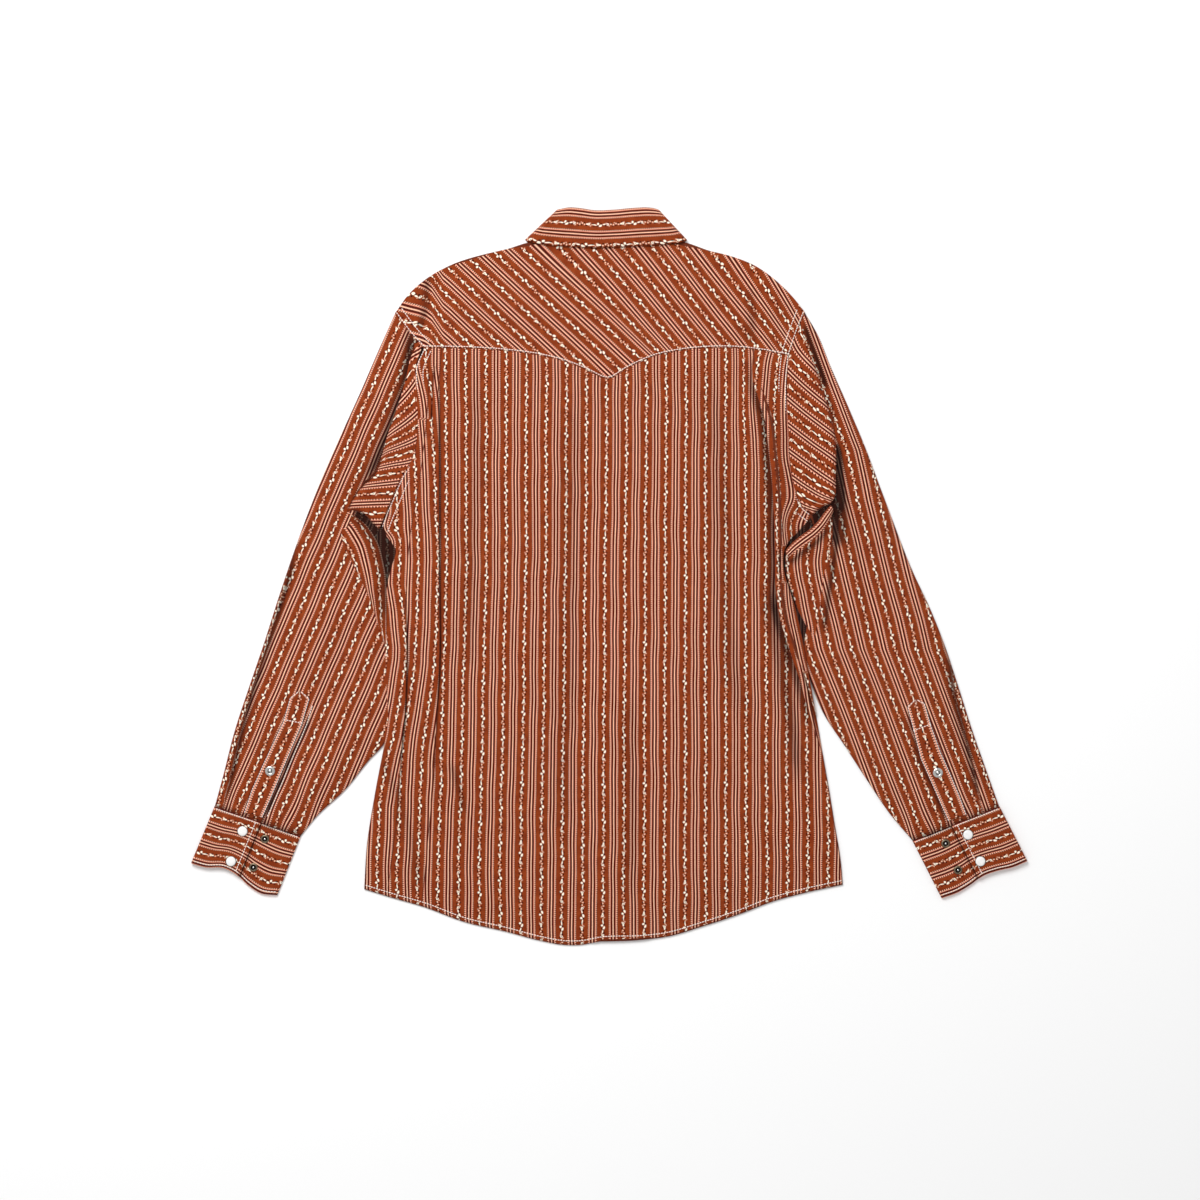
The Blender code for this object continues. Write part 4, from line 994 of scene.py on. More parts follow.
# %% Plan and height of a sleeve
TUBE_MIDDLE = 1.9       # where the tube's top meets its underside, mm
TUBE_TOP = 3.4          # its top inside the rolled edges, mm
TUBE_DOME = 2.2         # and how much higher its middle is, mm
TUBE_LOW = 2.6          # its top where other parts lie on it, mm
TUBE_LEAST = 1.6        # and the least it may fall to in a valley, mm


def sleeve_plan(side, rows, across):
    """Points in plan: straight across from outer to inner edge, bent at the top so that the
    first row is the armhole seam; the bend fades with the square of the way down.  Rows leave
    the inner edge more slowly, s^1.4, so that they turn from the long seam without crossing."""
    arm = ARMS[side]
    s, t = np.linspace(0, 1, rows)[:, None, None], across[None, :, None]
    outer, inner = smooth(arm.outer, s[:, 0, 0])[:, None], smooth(arm.inner, s[:, 0, 0]**1.4)[:, None]
    bow = smooth(ARMHOLES[side], across)[None] - (outer[:1] * (1 - t) + inner[:1] * t)
    return outer * (1 - t) + inner * t + bow * np.clip(1 - s / 0.3, 0, 1)**2


def sleeve_height(x, y, edge, side):
    """Top of the tube away from its rolled edges: a low dome, the drawn folds and ripples."""
    return (TUBE_TOP + TUBE_DOME * smoothstep(edge / 26)
            + folded(x, y, ARMS[side].folds) * smoothstep(edge / 7)
            + 1.6 * ripples(x, y) * smoothstep(edge / 12))


def under_arm(x, y, side):
    """1 where the tube's top is hidden by the folded parts and has to keep low, and where the tube paints
    shade on its top.
    """
    if side == "left":
        line = [(-221, 262), (-226, 222), (-252, 150), (-270, 107), (-296, 66), (-296, 30), (-275, -20),
                (-257, -66)]
        return smoothstep((x - x_at(line, y) - 2) / 7) * smoothstep((y + 66) / 14)
    line = [(214, 268), (232, 240), (246, 205), (258, 150), (264, 110), (262, 60), (246, 0), (240, -50)]
    return smoothstep((x_at(line, y) - 2 - x) / 7) * smoothstep((y + 58) / 14)


# %% The print on a sleeve
LEFT_PLEAT = [(-352, 42), (-362, 6), (-370, -24), (-384, -69), (-408, -145), (-419, -187), (-440, -275)]
RIGHT_PLEAT = [(386, -92), (388, -116), (391, -136), (400, -170), (409, -205), (418, -250), (424, -278)]
VINES_LEFT, VINES_RIGHT = 23.35, 22.6       # from vine to vine in plan on each sleeve, mm
# How far the right sleeve's stripes are pulled sideways, by y.
RIGHT_PULL = [(-82, 0), (-48, 5), (-3, 10), (42, 16), (87, 21), (143, 30), (200, 31)]


def sleeve_cloth(x, y, edge, side):
    """Place in the sleeve's flat cloth: (x, y) turned so that across runs at right angles to
    the stripes, which fall 67 degrees on the left sleeve and 69 on the right.  The narrow rim
    outside the long pleat comes from further round the sleeve: its stripes follow the edge."""
    if side == "left":
        across = (0.921 * (x + 242) - 0.391 * (y - 298) - 8.6) * REPEAT / VINES_LEFT
        along = -0.391 * (x + 242) - 0.921 * (y - 298)
        rim = (x < x_at(LEFT_PLEAT, y)) & (y < 42)
    else:
        pull = np.interp(y, *np.array(RIGHT_PULL, dtype=float).T) - 19
        across = (-0.934 * (x - 221) - 0.358 * (y - 299) + pull) * REPEAT / VINES_RIGHT
        along = 0.358 * (x - 221) - 0.934 * (y - 299)
        rim = (x > x_at(RIGHT_PLEAT, y)) & (y < -92)
    cuff = CUFFS[side]
    seam = np.array([cuff.seam_outer, cuff.seam_inner])
    run = (seam[1] - seam[0]) / np.linalg.norm(seam[1] - seam[0])
    above = np.abs((x - seam[0, 0]) * run[1] - (y - seam[0, 1]) * run[0])
    gather = 1.6 * np.sin(across / 7.5 + above / 11) * np.exp(-above / 22)
    return np.where(rim, edge - 3, across + gather) + waver(y, x), along


# %% The tube
def sleeve_tube(side, rows=170, over=64, under=18):
    """The tube's ring: over the top from outer to inner edge, then back underneath.  Both
    halves meet at the edges, where the height falls to the middle of the tube."""
    t = 0.5 - 0.5 * np.cos(np.linspace(0, math.pi, over))
    t = 0.35 * t + 0.65 * np.linspace(0, 1, over)
    back_t = np.linspace(1, 0, under)
    ring_t = np.concatenate([t, back_t[1:]])
    grid = sleeve_plan(side, rows, ring_t)
    x, y = grid[..., 0], grid[..., 1]
    width = np.linalg.norm(grid[:, 0] - grid[:, over - 1], axis=1)[:, None]
    edge = np.minimum(ring_t, 1 - ring_t)[None] * width
    high = sleeve_height(x, y, edge, side)
    low = under_arm(x, y, side)
    high = np.maximum(high * (1 - low) + TUBE_LOW * low, TUBE_LEAST)
    z = TUBE_MIDDLE + (high - TUBE_MIDDLE) * rounded(edge, 5)
    z[:, over:] = TUBE_MIDDLE - 1.35 * rounded(edge[:, over:], 5)
    across, along = sleeve_cloth(x, y, edge, side)
    turn = across[:, over - 1:over]
    across[:, over:] = 2 * turn - across[:, over:]              # the print goes on round the edge
    # Painted shade: along the sleeve's shade paths, and where the folded parts cover the top; only on the top
    # half of the ring.
    shade = np.clip(folded(x, y, ARMS[side].shades) + low, 0, 1) * (np.arange(len(ring_t)) < over)
    return panel(stack(x, y, z), stack(across, along), shade, turned=side == "right")


tubes = {side: sleeve_tube(side) for side in ARMS}
print("a sleeve tube has", tubes["left"].grid.shape[:2], "points")

# %% [markdown]
# ## The folded parts by the underarms
#
# Here the sleeve's cloth makes folds over folds.  A cloth simulation could find such folds, but
# not these ones, so each visible part is a patch between four drawn borders.  A border that
# rolls takes the height down to the layer below it.  There are two kinds: a flap, whose
# stripes lean across it, and a tongue, whose stripes run down it.

# %% Flaps and tongues
def lying_part(borders, rolls, level, base, uneven, rows, columns):
    """x, y and z of a part that lies on the tube.  Its height is its own level with ripples, and
    each rolled border takes it down to the layer below."""
    grid = patch(*borders, rows, columns)
    x, y = grid[..., 0], grid[..., 1]
    z = level(x, y) + uneven * ripples(x, y)
    for border, reach in rolls:
        z = base + (z - base) * rounded(near_curve(x, y, border), reach)
    return x, y, z


def flap(top, bottom, left, right, rolls, level, angles, base=2.2, rows=70, columns=50):
    """A part whose stripes lean by an angle that changes on the way down, from the side where
    it is sewn to the armhole."""
    x, y, z = lying_part((top, bottom, left, right), rolls, level, base, 1.2, rows, columns)
    fall = np.linspace(-1 - y.max(), 1 - y.min(), 300)          # y turned over, so that it rises
    from_y, angle = np.array(angles, dtype=float).T
    lean = np.radians(np.interp(fall, -from_y, angle))
    down = np.concatenate([[0], np.cumsum(np.cos(lean[1:]) * np.diff(fall))])
    seam = smooth(left if left[0][0] > 0 else right, np.linspace(0, 1, rows))[:, None, 0]
    out, turn = np.abs(x - seam), np.interp(-y, fall, lean)
    across = np.interp(-y, fall, down) - out * np.sin(turn)
    along = out * np.cos(turn) + np.interp(-y, fall, down) * 0.3
    return panel(stack(x, y, z), stack(across, along))


def tongue(top, bottom, left, right, rolls, level, base, turns, rows=60, columns=36, shades=(),
           anchor=0.0, narrows=0.45, vine=None):
    """A part whose stripes run down it and draw together: across is the share of the width,
    counted from the anchor, which is 0 for the left border and 1 for the right one.  With a
    vine's path, across is instead the distance from that path, and the stripes stay parallel."""
    x, y, z = lying_part((top, bottom, left, right), rolls, level, base, 1.0, rows, columns)
    wide = np.hypot(x[:, :1] - x[:, -1:], y[:, :1] - y[:, -1:])
    share = np.linspace(0, 1, columns)[None]
    across = turns + (share - anchor) * (narrows * wide + (1 - narrows) * wide.max())
    if vine:
        across = x - x_at(vine, y)
    # Painted shade along the given paths.
    shade = np.clip(folded(x, y, shades), 0, 1)
    return panel(stack(x, y, z), stack(across, y), shade)


def crown(low, high, table, width):
    """A level with a ridge: low away from a curve, high on it."""
    return lambda x, y: low + (high - low) * np.exp(-(near_curve(x, y, table) / width)**2)


def well(left, right):
    """The cloth between the sleeve's folds: a low, flat strip painted fully dark as shade, and
    under it the layer that lies on the floor, with its right side down."""
    grid = patch([left[0], right[0]], [left[-1], right[-1]], left, right, 30, 12)
    x, y = grid[..., 0], grid[..., 1]
    floor_side = panel(stack(x, y, 0.6), stack(x + 4, y), turned=True)
    return [panel(stack(x, y, 2.1), stack(x, y), 1.0), floor_side]


# %% The left underarm
left_valley = [(-226, 274), (-227, 238), (-232, 216), (-250, 162), (-268, 112), (-281, 100), (-303, 60)]
left_lip = [(-303, 60), (-299, 67), (-291, 75), (-283, 73), (-275, 69), (-267, 60), (-260, 54)]
left_under = flap(
    [(-226, 274), (-219, 269), (-211, 261)], left_lip, left_valley,
    [(-211, 261), *LEFT_EDGE[3:11], (-260, 54)], [(left_valley, 7), (left_lip, 5)],
    crown(5.6, 9.4, [(-240, 180), (-262, 124), (-280, 90), (-286, 76)], 20),
    [(262, 52), (215, 50), (160, 38), (120, 16), (90, 4), (50, 0)])
tongue_edge = [(-305, 58), (-302, 38), (-294, 22), (-282, -4), (-270, -28), (-262, -54), (-255, -74)]
tongue_brow = [(-286, 67), (-276, 60), (-267, 48), (-261, 37), (-256, 19), (-253, 3), (-252, -20)]
left_tongue = tongue(
    [(-305, 58), (-301, 68), (-293, 72), (-286, 67)], [(-255, -74), (-254, -75), (-252, -76)],
    tongue_edge, tongue_brow + [(-252, -50), (-252, -76)], [(tongue_edge, 4), (tongue_brow, 5)],
    crown(4.6, 8.0, [(-296, 44), (-284, 16), (-266, -10)], 12), 2.0, 8, anchor=1.0, narrows=0.75,
    shades=[Fold(0.62, 6, 9, [(-296, 90), (-276, 60), (-267, 48), (-261, 37), (-256, 19), (-253, 0),
                              (-253, -60)])])
left_well = well([(-292, 80), (-290, 40), (-280, 0), (-262, -40)],
                 [(-244, 60), (-238, 40), (-240, 0), (-246, -40)])
sleeve_left = sew("sleeve_left", [tubes["left"], left_under, left_tongue, *left_well])

# %% The right underarm
right_edge = [(219, 282), (228, 252), (238, 222), (246, 196), (254, 166), (256.5, 144), (256, 110),
              (255.5, 92), (250, 82)]
slit = [(230, 70), (235, 74), (242, 79), (250, 82)]
right_under = flap(
    [(211, 274), (215, 279), (219, 282)], slit, [(211, 274), *RIGHT_EDGE[2:10]], right_edge,
    [(right_edge, 6), (slit, 3)],
    crown(5.8, 9.6, [(226, 238), (240, 204), (248, 160), (250, 110), (248, 90)], 12),
    [(270, 48), (230, 44), (180, 40), (140, 38), (100, 44), (60, 48)])
tongue_top = [(199, 30), (206, 38), (216, 46.5), (227, 54.5), (236, 63.5), (243, 73), (250, 81)]
tongue_left = [(199, 30), (199, 12), (202.5, -7), (208, -22), (213.5, -38), (222, -54), (231, -69)]
tongue_right = [(250, 81), (253, 58), (252, 34), (249, 2), (246, -20), (244, -46), (240, -70)]
right_tongue = tongue(
    tongue_top, [(231, -69), (235, -70), (240, -70)], tongue_left, tongue_right,
    [(tongue_top, 4), (tongue_left, 4), (tongue_right, 5)],
    crown(5.0, 8.8, [(208, 26), (224, 40), (242, 62)], 9), 2.0, 0,
    vine=[(227, 60), (225.5, 34), (223.6, 17), (225.5, 0), (229.5, -18), (232, -32), (237, -57),
          (238.5, -70)],
    shades=[Fold(0.75, 2, 4, [(196, 16), (206, 19), (216, 27), (229, 36), (240, 46), (249, 60)])])
rim_low = [(202, 21), (215, 30), (228, 39), (240, 50), (249, 64), (253, 74)]
right_rim = tongue(
    [(250, 81), (252, 78), (253, 74)], [(199, 30), (200.5, 26), (202, 21)], tongue_top[::-1], rim_low[::-1],
    [(tongue_top, 3), (rim_low, 4)], lambda x, y: 9.8 + 0 * x, 5.0, 5, rows=50, columns=14)
right_well = well([(206, 66), (196, 30), (198, 0), (208, -50), (220, -90)],
                  [(262, 96), (262, 60), (256, 10), (244, -50), (228, -92)])
sleeve_right = sew("sleeve_right", [tubes["right"], right_under, right_tongue, right_rim, *right_well])

# %% [markdown]
# ## Cuffs
#
# A cuff is one stiff double band round the wrist.  Lying flat it shows as two layers below
# and one lap on top, with the pearl caps on the lap and the bare studs on the layer under it.
# Its section is a spiral, so the band is one grid: a row for each station of the spiral.

# %% Section of a cuff
CUFF_WALL = 1.6                         # mm
CUFF_LEVELS = (0.9, 3.0, 5.1)           # middle of the three layers, mm
CUFF_WIDTH, CUFF_DEPTH = 103, 71        # one flat half of the band, mm
CUFF_PRINT = -10.5                      # where the print starts at the seam, mm


def cuff_edges(cuff, t):
    """Seam and free edge at shares t of the width: straight lines, and the free edge with a
    smooth bow through its seven numbers."""
    seam = np.array(cuff.seam_outer) * (1 - t) + np.array(cuff.seam_inner) * t
    free = np.array(cuff.free_outer) * (1 - t) + np.array(cuff.free_inner) * t
    down = (free - seam) / np.linalg.norm(free - seam, axis=1)[:, None]
    bow = smooth([(k / 6, 0, bow) for k, bow in enumerate(cuff.wave)], t[:, 0])[:, 2:]
    return seam, free - down * bow


def cuff_section(overlap):
    """The spiral: share of the cuff's width and height, by station.  The turn at each side is a
    half circle between two levels."""
    low, mid, high = CUFF_LEVELS
    turn = np.linspace(0, math.pi, 9)[1:-1]
    inner_t, inner_z = 0.975 + 0.02 * np.sin(turn), (mid + low) / 2 + (mid - low) / 2 * np.cos(turn)
    outer_t, outer_z = 0.022 - 0.02 * np.sin(turn), (high + low) / 2 - (high - low) / 2 * np.cos(turn)
    t = np.concatenate([np.linspace(overlap - 0.1, 0.975, 40), inner_t, np.linspace(0.975, 0.022, 16),
                        outer_t, np.linspace(0.022, overlap, 16)])
    z = np.concatenate([np.full(40, mid), inner_z, np.full(16, low), outer_z, np.full(16, high)])
    return t, z


print("stations round a cuff:", len(cuff_section(CUFFS["left"].overlap)[0]))


# %% Cuffs
def make_cuff(side):
    """Each station of the section is a straight row from the seam to the free edge; the two
    upper layers swell by half a sine on the way and ripple a little."""
    cuff = CUFFS[side]
    t, z = cuff_section(cuff.overlap)
    seam, free = cuff_edges(cuff, t[:, None])
    v = np.linspace(0, 1, 26)
    grid = seam[:, None] * (1 - v[None, :, None]) + free[:, None] * v[None, :, None]
    top = z > CUFF_LEVELS[1] - 0.2
    swell = 0.5 * np.sin(math.pi * v)[None] * top[:, None]
    height = z[:, None] + swell + 0.5 * ripples(grid[..., 0], grid[..., 1]) * top[:, None]
    run = np.concatenate([[0], np.cumsum(np.abs(np.diff(t)) * CUFF_WIDTH)])[:, None]
    depth = CUFF_DEPTH * v[None] + 0 * run              # the stripes bow with the free edge
    cloth = stack(depth + CUFF_PRINT + waver(grid[..., 1], grid[..., 0]), run)
    # Painted shade: a dark band on the layer under the lap, along the lap's edge.
    shade = 0.85 * np.exp(-((t - cuff.overlap) / 0.022)**2) * (np.abs(z - CUFF_LEVELS[1]) < 0.3)
    shade = np.broadcast_to(shade[:, None], depth.shape)
    band = panel(np.dstack([grid, height]), cloth, shade, turned=side == "left")
    return sew("cuff_" + side, [band], wall=CUFF_WALL, offset=0.0, lined=True)


cuff_left, cuff_right = make_cuff("left"), make_cuff("right")

# %% [markdown]
# ## Sleeve plackets
#
# The opening above each cuff is bound by a strip with a pointed end, like a small tie.  It is
# built on the sleeve's own height, so it follows the folds below it.

# %% Outlines of the sleeve plackets
Strip = namedtuple("Strip", "slit_x slit_y sewn_x sewn_y")
SLEEVE_PLACKETS = {
    "left": [Strip(-348.8, -128.8, -349.8, -128.8), Strip(-337.5, -137.5, -361, -136.5),
             Strip(-346.5, -167.5, -368.5, -163), Strip(-359, -197, -381, -189),
             Strip(-369, -221, -392.5, -213), Strip(-381, -250, -404.5, -240), Strip(-391, -272, -413, -266)],
    "right": [Strip(345.5, -138.3, 346.5, -138.3), Strip(335.8, -147, 356.5, -142.5),
              Strip(343.5, -176, 364, -168), Strip(351, -206, 375, -197), Strip(363, -233, 387, -224),
              Strip(373, -256, 396, -246), Strip(382, -276, 404, -268)],
}
PLACKET_WIDTH, PLACKET_LENGTH = 21, 145         # mm
PLACKET_LIFT = 0.9                              # how much higher it lies than the sleeve, mm
# Shares of the table's six runs: 12 rows over the first, which is the point, and 49 over the rest.
PLACKET_ROWS = np.concatenate([np.linspace(0, 1 / 6, 12), np.linspace(1 / 6, 1, 50)[1:]])
print("placket rows:", len(PLACKET_ROWS))


# %% Sleeve plackets
def sleeve_top(x, y, side):
    """Height of the sleeve's top at places well inside its edges."""
    outer, inner = x_at(ARMS[side].outer, y), x_at(ARMS[side].inner, y)
    edge = np.minimum(np.abs(x - outer), np.abs(x - inner)) * 0.9
    return sleeve_height(x, y, edge, side)


def placket_height(x, y, side):
    """Top of a sleeve placket: the sleeve's own height and one lift."""
    return sleeve_top(x, y, side) + PLACKET_LIFT


def straight(table, at):
    """Points on the straight runs of a table, at fractions of its number of runs."""
    points = np.array([tuple(row) for row in table], dtype=float)
    runs = np.arange(len(points))
    return np.column_stack([np.interp(at * runs[-1], runs, column) for column in points.T])


def make_placket(side):
    """Straight rows from the slit to the sewn side, with a low step at both edges."""
    rows = straight(SLEEVE_PLACKETS[side], PLACKET_ROWS)
    w = np.linspace(0, 1, 14)[None, :, None]
    grid = rows[:, None, 0:2] * (1 - w) + rows[:, None, 2:4] * w
    x, y, w = grid[..., 0], grid[..., 1], w[..., 0]
    z = placket_height(x, y, side) - 0.6 * (1 - rounded(np.minimum(w, 1 - w) * PLACKET_WIDTH, 1.2))
    cloth = stack((w - 0.5) * PLACKET_WIDTH, PLACKET_LENGTH * PLACKET_ROWS[:, None])
    return sew("sleeve_placket_" + side, [panel(stack(x, y, z), cloth, turned=side == "left")])


placket_left, placket_right = make_placket("left"), make_placket("right")

# %% [markdown]
# ## Collar
#
# The collar is a stand, which closes round the neck, and a leaf, which folds down over it.
# With the back up, the leaf's middle lies on top and its points lie on the floor, under the
# fronts.  Stations along it give the fold line, the free edge and the height.

# %% Stations along the collar
Band = namedtuple("Band", "fold_x fold_y edge_x edge_y height")
COLLAR_LEAF = [
    Band(-14, 330, -57, 268, 0.6), Band(-34, 352, -78, 318, 0.6), Band(-50, 384, -90, 352, 0.6),
    Band(-56.5, 408, -90, 375.8, 0.6), Band(-59, 412, -93.2, 379.2, 1.6), Band(-60, 413.5, -94.8, 380.6, 3.6),
    Band(-58.5, 414.5, -92.5, 379.6, 5.6), Band(-54, 415.5, -86, 377.5, 6.6), Band(-46, 417, -66, 374.5, 6.9),
    Band(-31, 416, -44, 373, 7.0), Band(-18, 414, -20, 372, 7.0), Band(4, 414.4, 8, 372.6, 7.0),
    Band(28, 416.5, 36, 374, 7.0), Band(44, 417, 60, 375.5, 6.9), Band(51, 416, 79, 377.5, 6.6),
    Band(55.5, 414.5, 85.5, 379.6, 5.6), Band(57, 413.5, 87.8, 380.6, 3.6), Band(56, 412, 86.2, 379.2, 1.6),
    Band(53.5, 408, 83, 375.8, 0.6), Band(47, 384, 83, 352, 0.6), Band(34, 352, 76, 318, 0.6),
    Band(14, 330, 57, 268, 0.6),
]
COLLAR_STAND = [
    Band(-0.6, 328, -0.6, 302.0, 2.1), Band(-14, 330, -15.5, 303.6, 2.1), Band(-29, 345, -43.5, 318.4, 2.1),
    Band(-41, 374, -65.0, 347, 2.1), Band(-46, 392, -72.0, 372, 2.1), Band(-48, 398, -74.0, 380.2, 2.4),
    Band(-49, 400, -75.5, 383.0, 3.3), Band(-48, 402, -74, 384.6, 4.2), Band(-44, 407, -66, 385.0, 4.5),
    Band(-20, 407, -24, 385.2, 4.5), Band(6, 407, 8, 385.2, 4.5), Band(38, 407, 57, 385.0, 4.5),
    Band(41, 402, 67, 385.6, 4.2), Band(42, 400, 68.6, 384.2, 3.3), Band(41, 398, 67.2, 381.6, 2.4),
    Band(39, 392, 65.0, 372, 2.1), Band(35, 374, 58.0, 347, 2.1), Band(25, 345, 37.5, 318.4, 2.1),
    Band(14, 330, 14.5, 304, 2.1), Band(0.6, 328, 0.6, 302.6, 2.1),
]
LEAF_DEPTH = 44         # from the fold line to the free edge on the back, mm
FLOOR_LAYER = 0.6       # middle of the lowest layer, mm
print(len(COLLAR_LEAF), "stations on the leaf and", len(COLLAR_STAND), "on the stand")


# %% Collar leaf and stand
def band_grid(table, stations, across):
    """A ruled strip from the fold line to the free edge, read smoothly along the table."""
    rows = smooth(table, np.linspace(0, 1, stations))
    w = np.linspace(0, 1, across)[None, :, None]
    return rows[:, None, [0, 1, 4]] * (1 - w) + rows[:, None, [2, 3, 4]] * w, w[..., 0]


def band_cloth(grid, w, offset):
    """The print runs along the collar: across is the way down from the fold line."""
    middle = grid[:, grid.shape[1] // 2]
    depth = np.linalg.norm(grid[:, -1] - grid[:, 0], axis=1).min() * w
    return stack(depth + offset, running_length(middle)[:, None])


leaf, w = band_grid(COLLAR_LEAF, 200, 26)
leaf_cloth = band_cloth(leaf, w, 6.4)
on_back = smoothstep((leaf[..., 2] - 5) / 1.5)
fold_roll, edge_roll = 1 - rounded(w * LEAF_DEPTH, 7), 1 - rounded((1 - w) * LEAF_DEPTH, 9)
leaf[..., 2] += on_back * (np.sin(math.pi * w) - 1.4 * fold_roll - 0.7 * edge_roll)
leaf[..., 2] = np.maximum(leaf[..., 2], FLOOR_LAYER)
collar_leaf = sew("collar_leaf", [panel(leaf, leaf_cloth, turned=True)], wall=1.1, offset=0.0, lined=True)
stand, w = band_grid(COLLAR_STAND, 160, 12)
stand = panel(stand, band_cloth(stand, w, 12), turned=True)
collar_stand = sew("collar_stand", [stand], wall=1.0, offset=0.0, lined=True)

# %% [markdown]
# ## Snaps
#
# A pearl snap is a resin cap, cut like mother-of-pearl, held in a thin prong ring.  The other
# half of each pair is a bare stamped stud: a flat ring, a dark well and a bright nub.  All are
# turned shapes: a profile of radius and height carried once round.


# %% Turned pieces
def lathe(name, profile, place, materials, sides=40, bands=None):
    """x = r cos a, y = r sin a, for each profile point and each angle; bands gives the
    material of each band between two profile points."""
    r, h = np.array(profile, dtype=float).T
    a = np.linspace(0, 2 * math.pi, sides, endpoint=False)
    points = stack(place[0] + r[:, None] * np.cos(a), place[1] + r[:, None] * np.sin(a),
                   place[2] + h[:, None] + 0 * a).reshape(-1, 3)
    index = np.arange(len(points)).reshape(len(r), sides)
    piece = mesh_object(name + "_turned", points, quads(np.hstack([index, index[:, :1]])), materials)
    if bands is not None:
        piece.data.polygons.foreach_set("material_index", np.repeat(bands, sides))
    join_doubles(piece.data, outwards=True)
    return piece


# %% Resin and plated metal
# Mother-of-pearl resin: clouds of flakes under a clear gloss.
PEARL = grained("pearl polyester resin", "#E2DEDA", "#FFFFFF", 2.4, 0.22,
                Coat_Weight=0.6, Coat_Roughness=0.08)
# Stamped brass, plated: the finish is uneven and a little worn, so its glints break up.
RING = grained("gunmetal plated prong ring", "#4A443E", "#8A8078", 1.1, 0.35, 1.0)
STUD = grained("antique plated brass stud", "#5A4C3C", "#8E7F6A", 1.1, 0.38, 1.0)
WELL = grained("blackened brass", "#0B0908", "#201B17", 1.1, 0.6, 1.0)
STEEL = grained("bright nickel plate", "#BDBBB8", "#E9E7E3", 1.1, 0.2, 1.0)
print("snap materials:", [material.name for material in (PEARL, RING, STUD, WELL, STEEL)])

# %% Profiles of the snaps
# Each profile is a row of (radius, height) in mm from the middle of the top to the middle of
# the underside; its bands number the materials from one point to the next.
CAP = [(0, 1.9), (2.0, 1.88), (4.0, 1.74), (4.9, 1.45), (5.3, 1.05), (5.4, 0.7), (5.5, 0.9), (5.8, 0.9),
       (6.0, 0.6), (6.0, 0.15), (5.6, 0), (0, 0)]
CAP_BANDS = [0, 0, 0, 0, 0, 1, 1, 1, 1, 1, 1]
STUD_PROFILE = [(0, 1.75), (0.8, 1.65), (1.2, 1.3), (1.25, 0.5), (2.8, 0.45), (3.0, 1.2), (3.4, 1.35),
                (4.4, 1.0), (5.0, 0.5), (5.0, 0.1), (0, 0)]
STUD_BANDS = [2, 2, 1, 1, 1, 0, 0, 0, 0, 0]
RING_SNAP = [(0, 1.0), (1.4, 0.95), (1.7, 0.6), (2.1, 0.6), (2.6, 1.3), (3.8, 1.6), (5.2, 1.1), (5.8, 0.5),
             (5.8, 0.1), (0, 0)]
RING_BANDS = [0, 0, 1, 1, 0, 0, 0, 0, 0]
FRONT_CAP = [(0, 0.05), (3, 0.08), (4.8, 0.3), (5.6, 0.6), (5.9, 0.8), (5.9, 1.1), (0, 1.2)]
FRONT_BANDS = [0, 0, 0, 1, 1, 1]
print("a cap is %.0f mm and a stud %.0f mm across" % (2 * max(CAP)[0], 2 * max(STUD_PROFILE)[0]))

# %% Snaps in their places
CAPS = {"left": [(-414, -287), (-427, -321)], "right": [(405, -291), (419, -321)]}
STUDS = {"left": [(-389, -296), (-402, -328)], "right": [(380, -301), (394, -331)]}
PLACKET_SNAPS = {"left": (-383, -219), "right": (371, -221)}
CAP_SEAT, STUD_SEAT = 6.2, 4.1                  # the top of the lap, and of the layer under it, mm
FRONT_SNAPS, FIRST_SNAP, SNAP_PITCH = 7, 262, 88        # how many, y of the first, and spacing, mm
snaps = []
for side in ("left", "right"):
    for k in (0, 1):
        name = "_%s_%d" % (side, k + 1)
        cap = lathe("cuff_cap" + name, CAP, (*CAPS[side][k], CAP_SEAT), [PEARL, RING], bands=CAP_BANDS)
        stud = lathe("cuff_stud" + name, STUD_PROFILE, (*STUDS[side][k], STUD_SEAT), [STUD, WELL, STEEL],
                     bands=STUD_BANDS)
        snaps += [(cap, "pearl"), (stud, "gunmetal")]
    px, py = PLACKET_SNAPS[side]
    seat = float(placket_height(np.array([px]), np.array([py]), side)[0]) + 0.1
    ring = lathe("placket_snap_" + side, RING_SNAP, (px, py, seat), [STEEL, WELL], bands=RING_BANDS)
    snaps.append((ring, "nickel"))
for k in range(FRONT_SNAPS):
    cap = lathe("front_snap_%d" % (k + 1), FRONT_CAP, (0, FIRST_SNAP - SNAP_PITCH * k, 0), [PEARL, RING],
                bands=FRONT_BANDS)
    snaps.append((cap, "pearl"))
print(len(snaps), "snaps")

# %% [markdown]
# ## Topstitching
#
# Every seam is held by white topstitching, about nine stitches to the inch.  A real stitch is
# a short bead of thread that dives into the cloth at both ends.  One bead of 20 faces is
# worked out once and laid along every seam, so a thousand of them stay light.


# %% One seam's stitches
THREAD_RADIUS = 0.48                    # mm: drawn a little fuller, so that it shows
STITCH_PITCH = 3.0                      # mm
BEAD_RINGS = np.array([-1.0, -0.7, 0.0, 0.7, 1.0])              # places along a bead
BEAD_GIRTH = np.array([0.35, 0.85, 1.0, 0.85, 0.35])            # and its girth there
BEAD_SIDES = 5


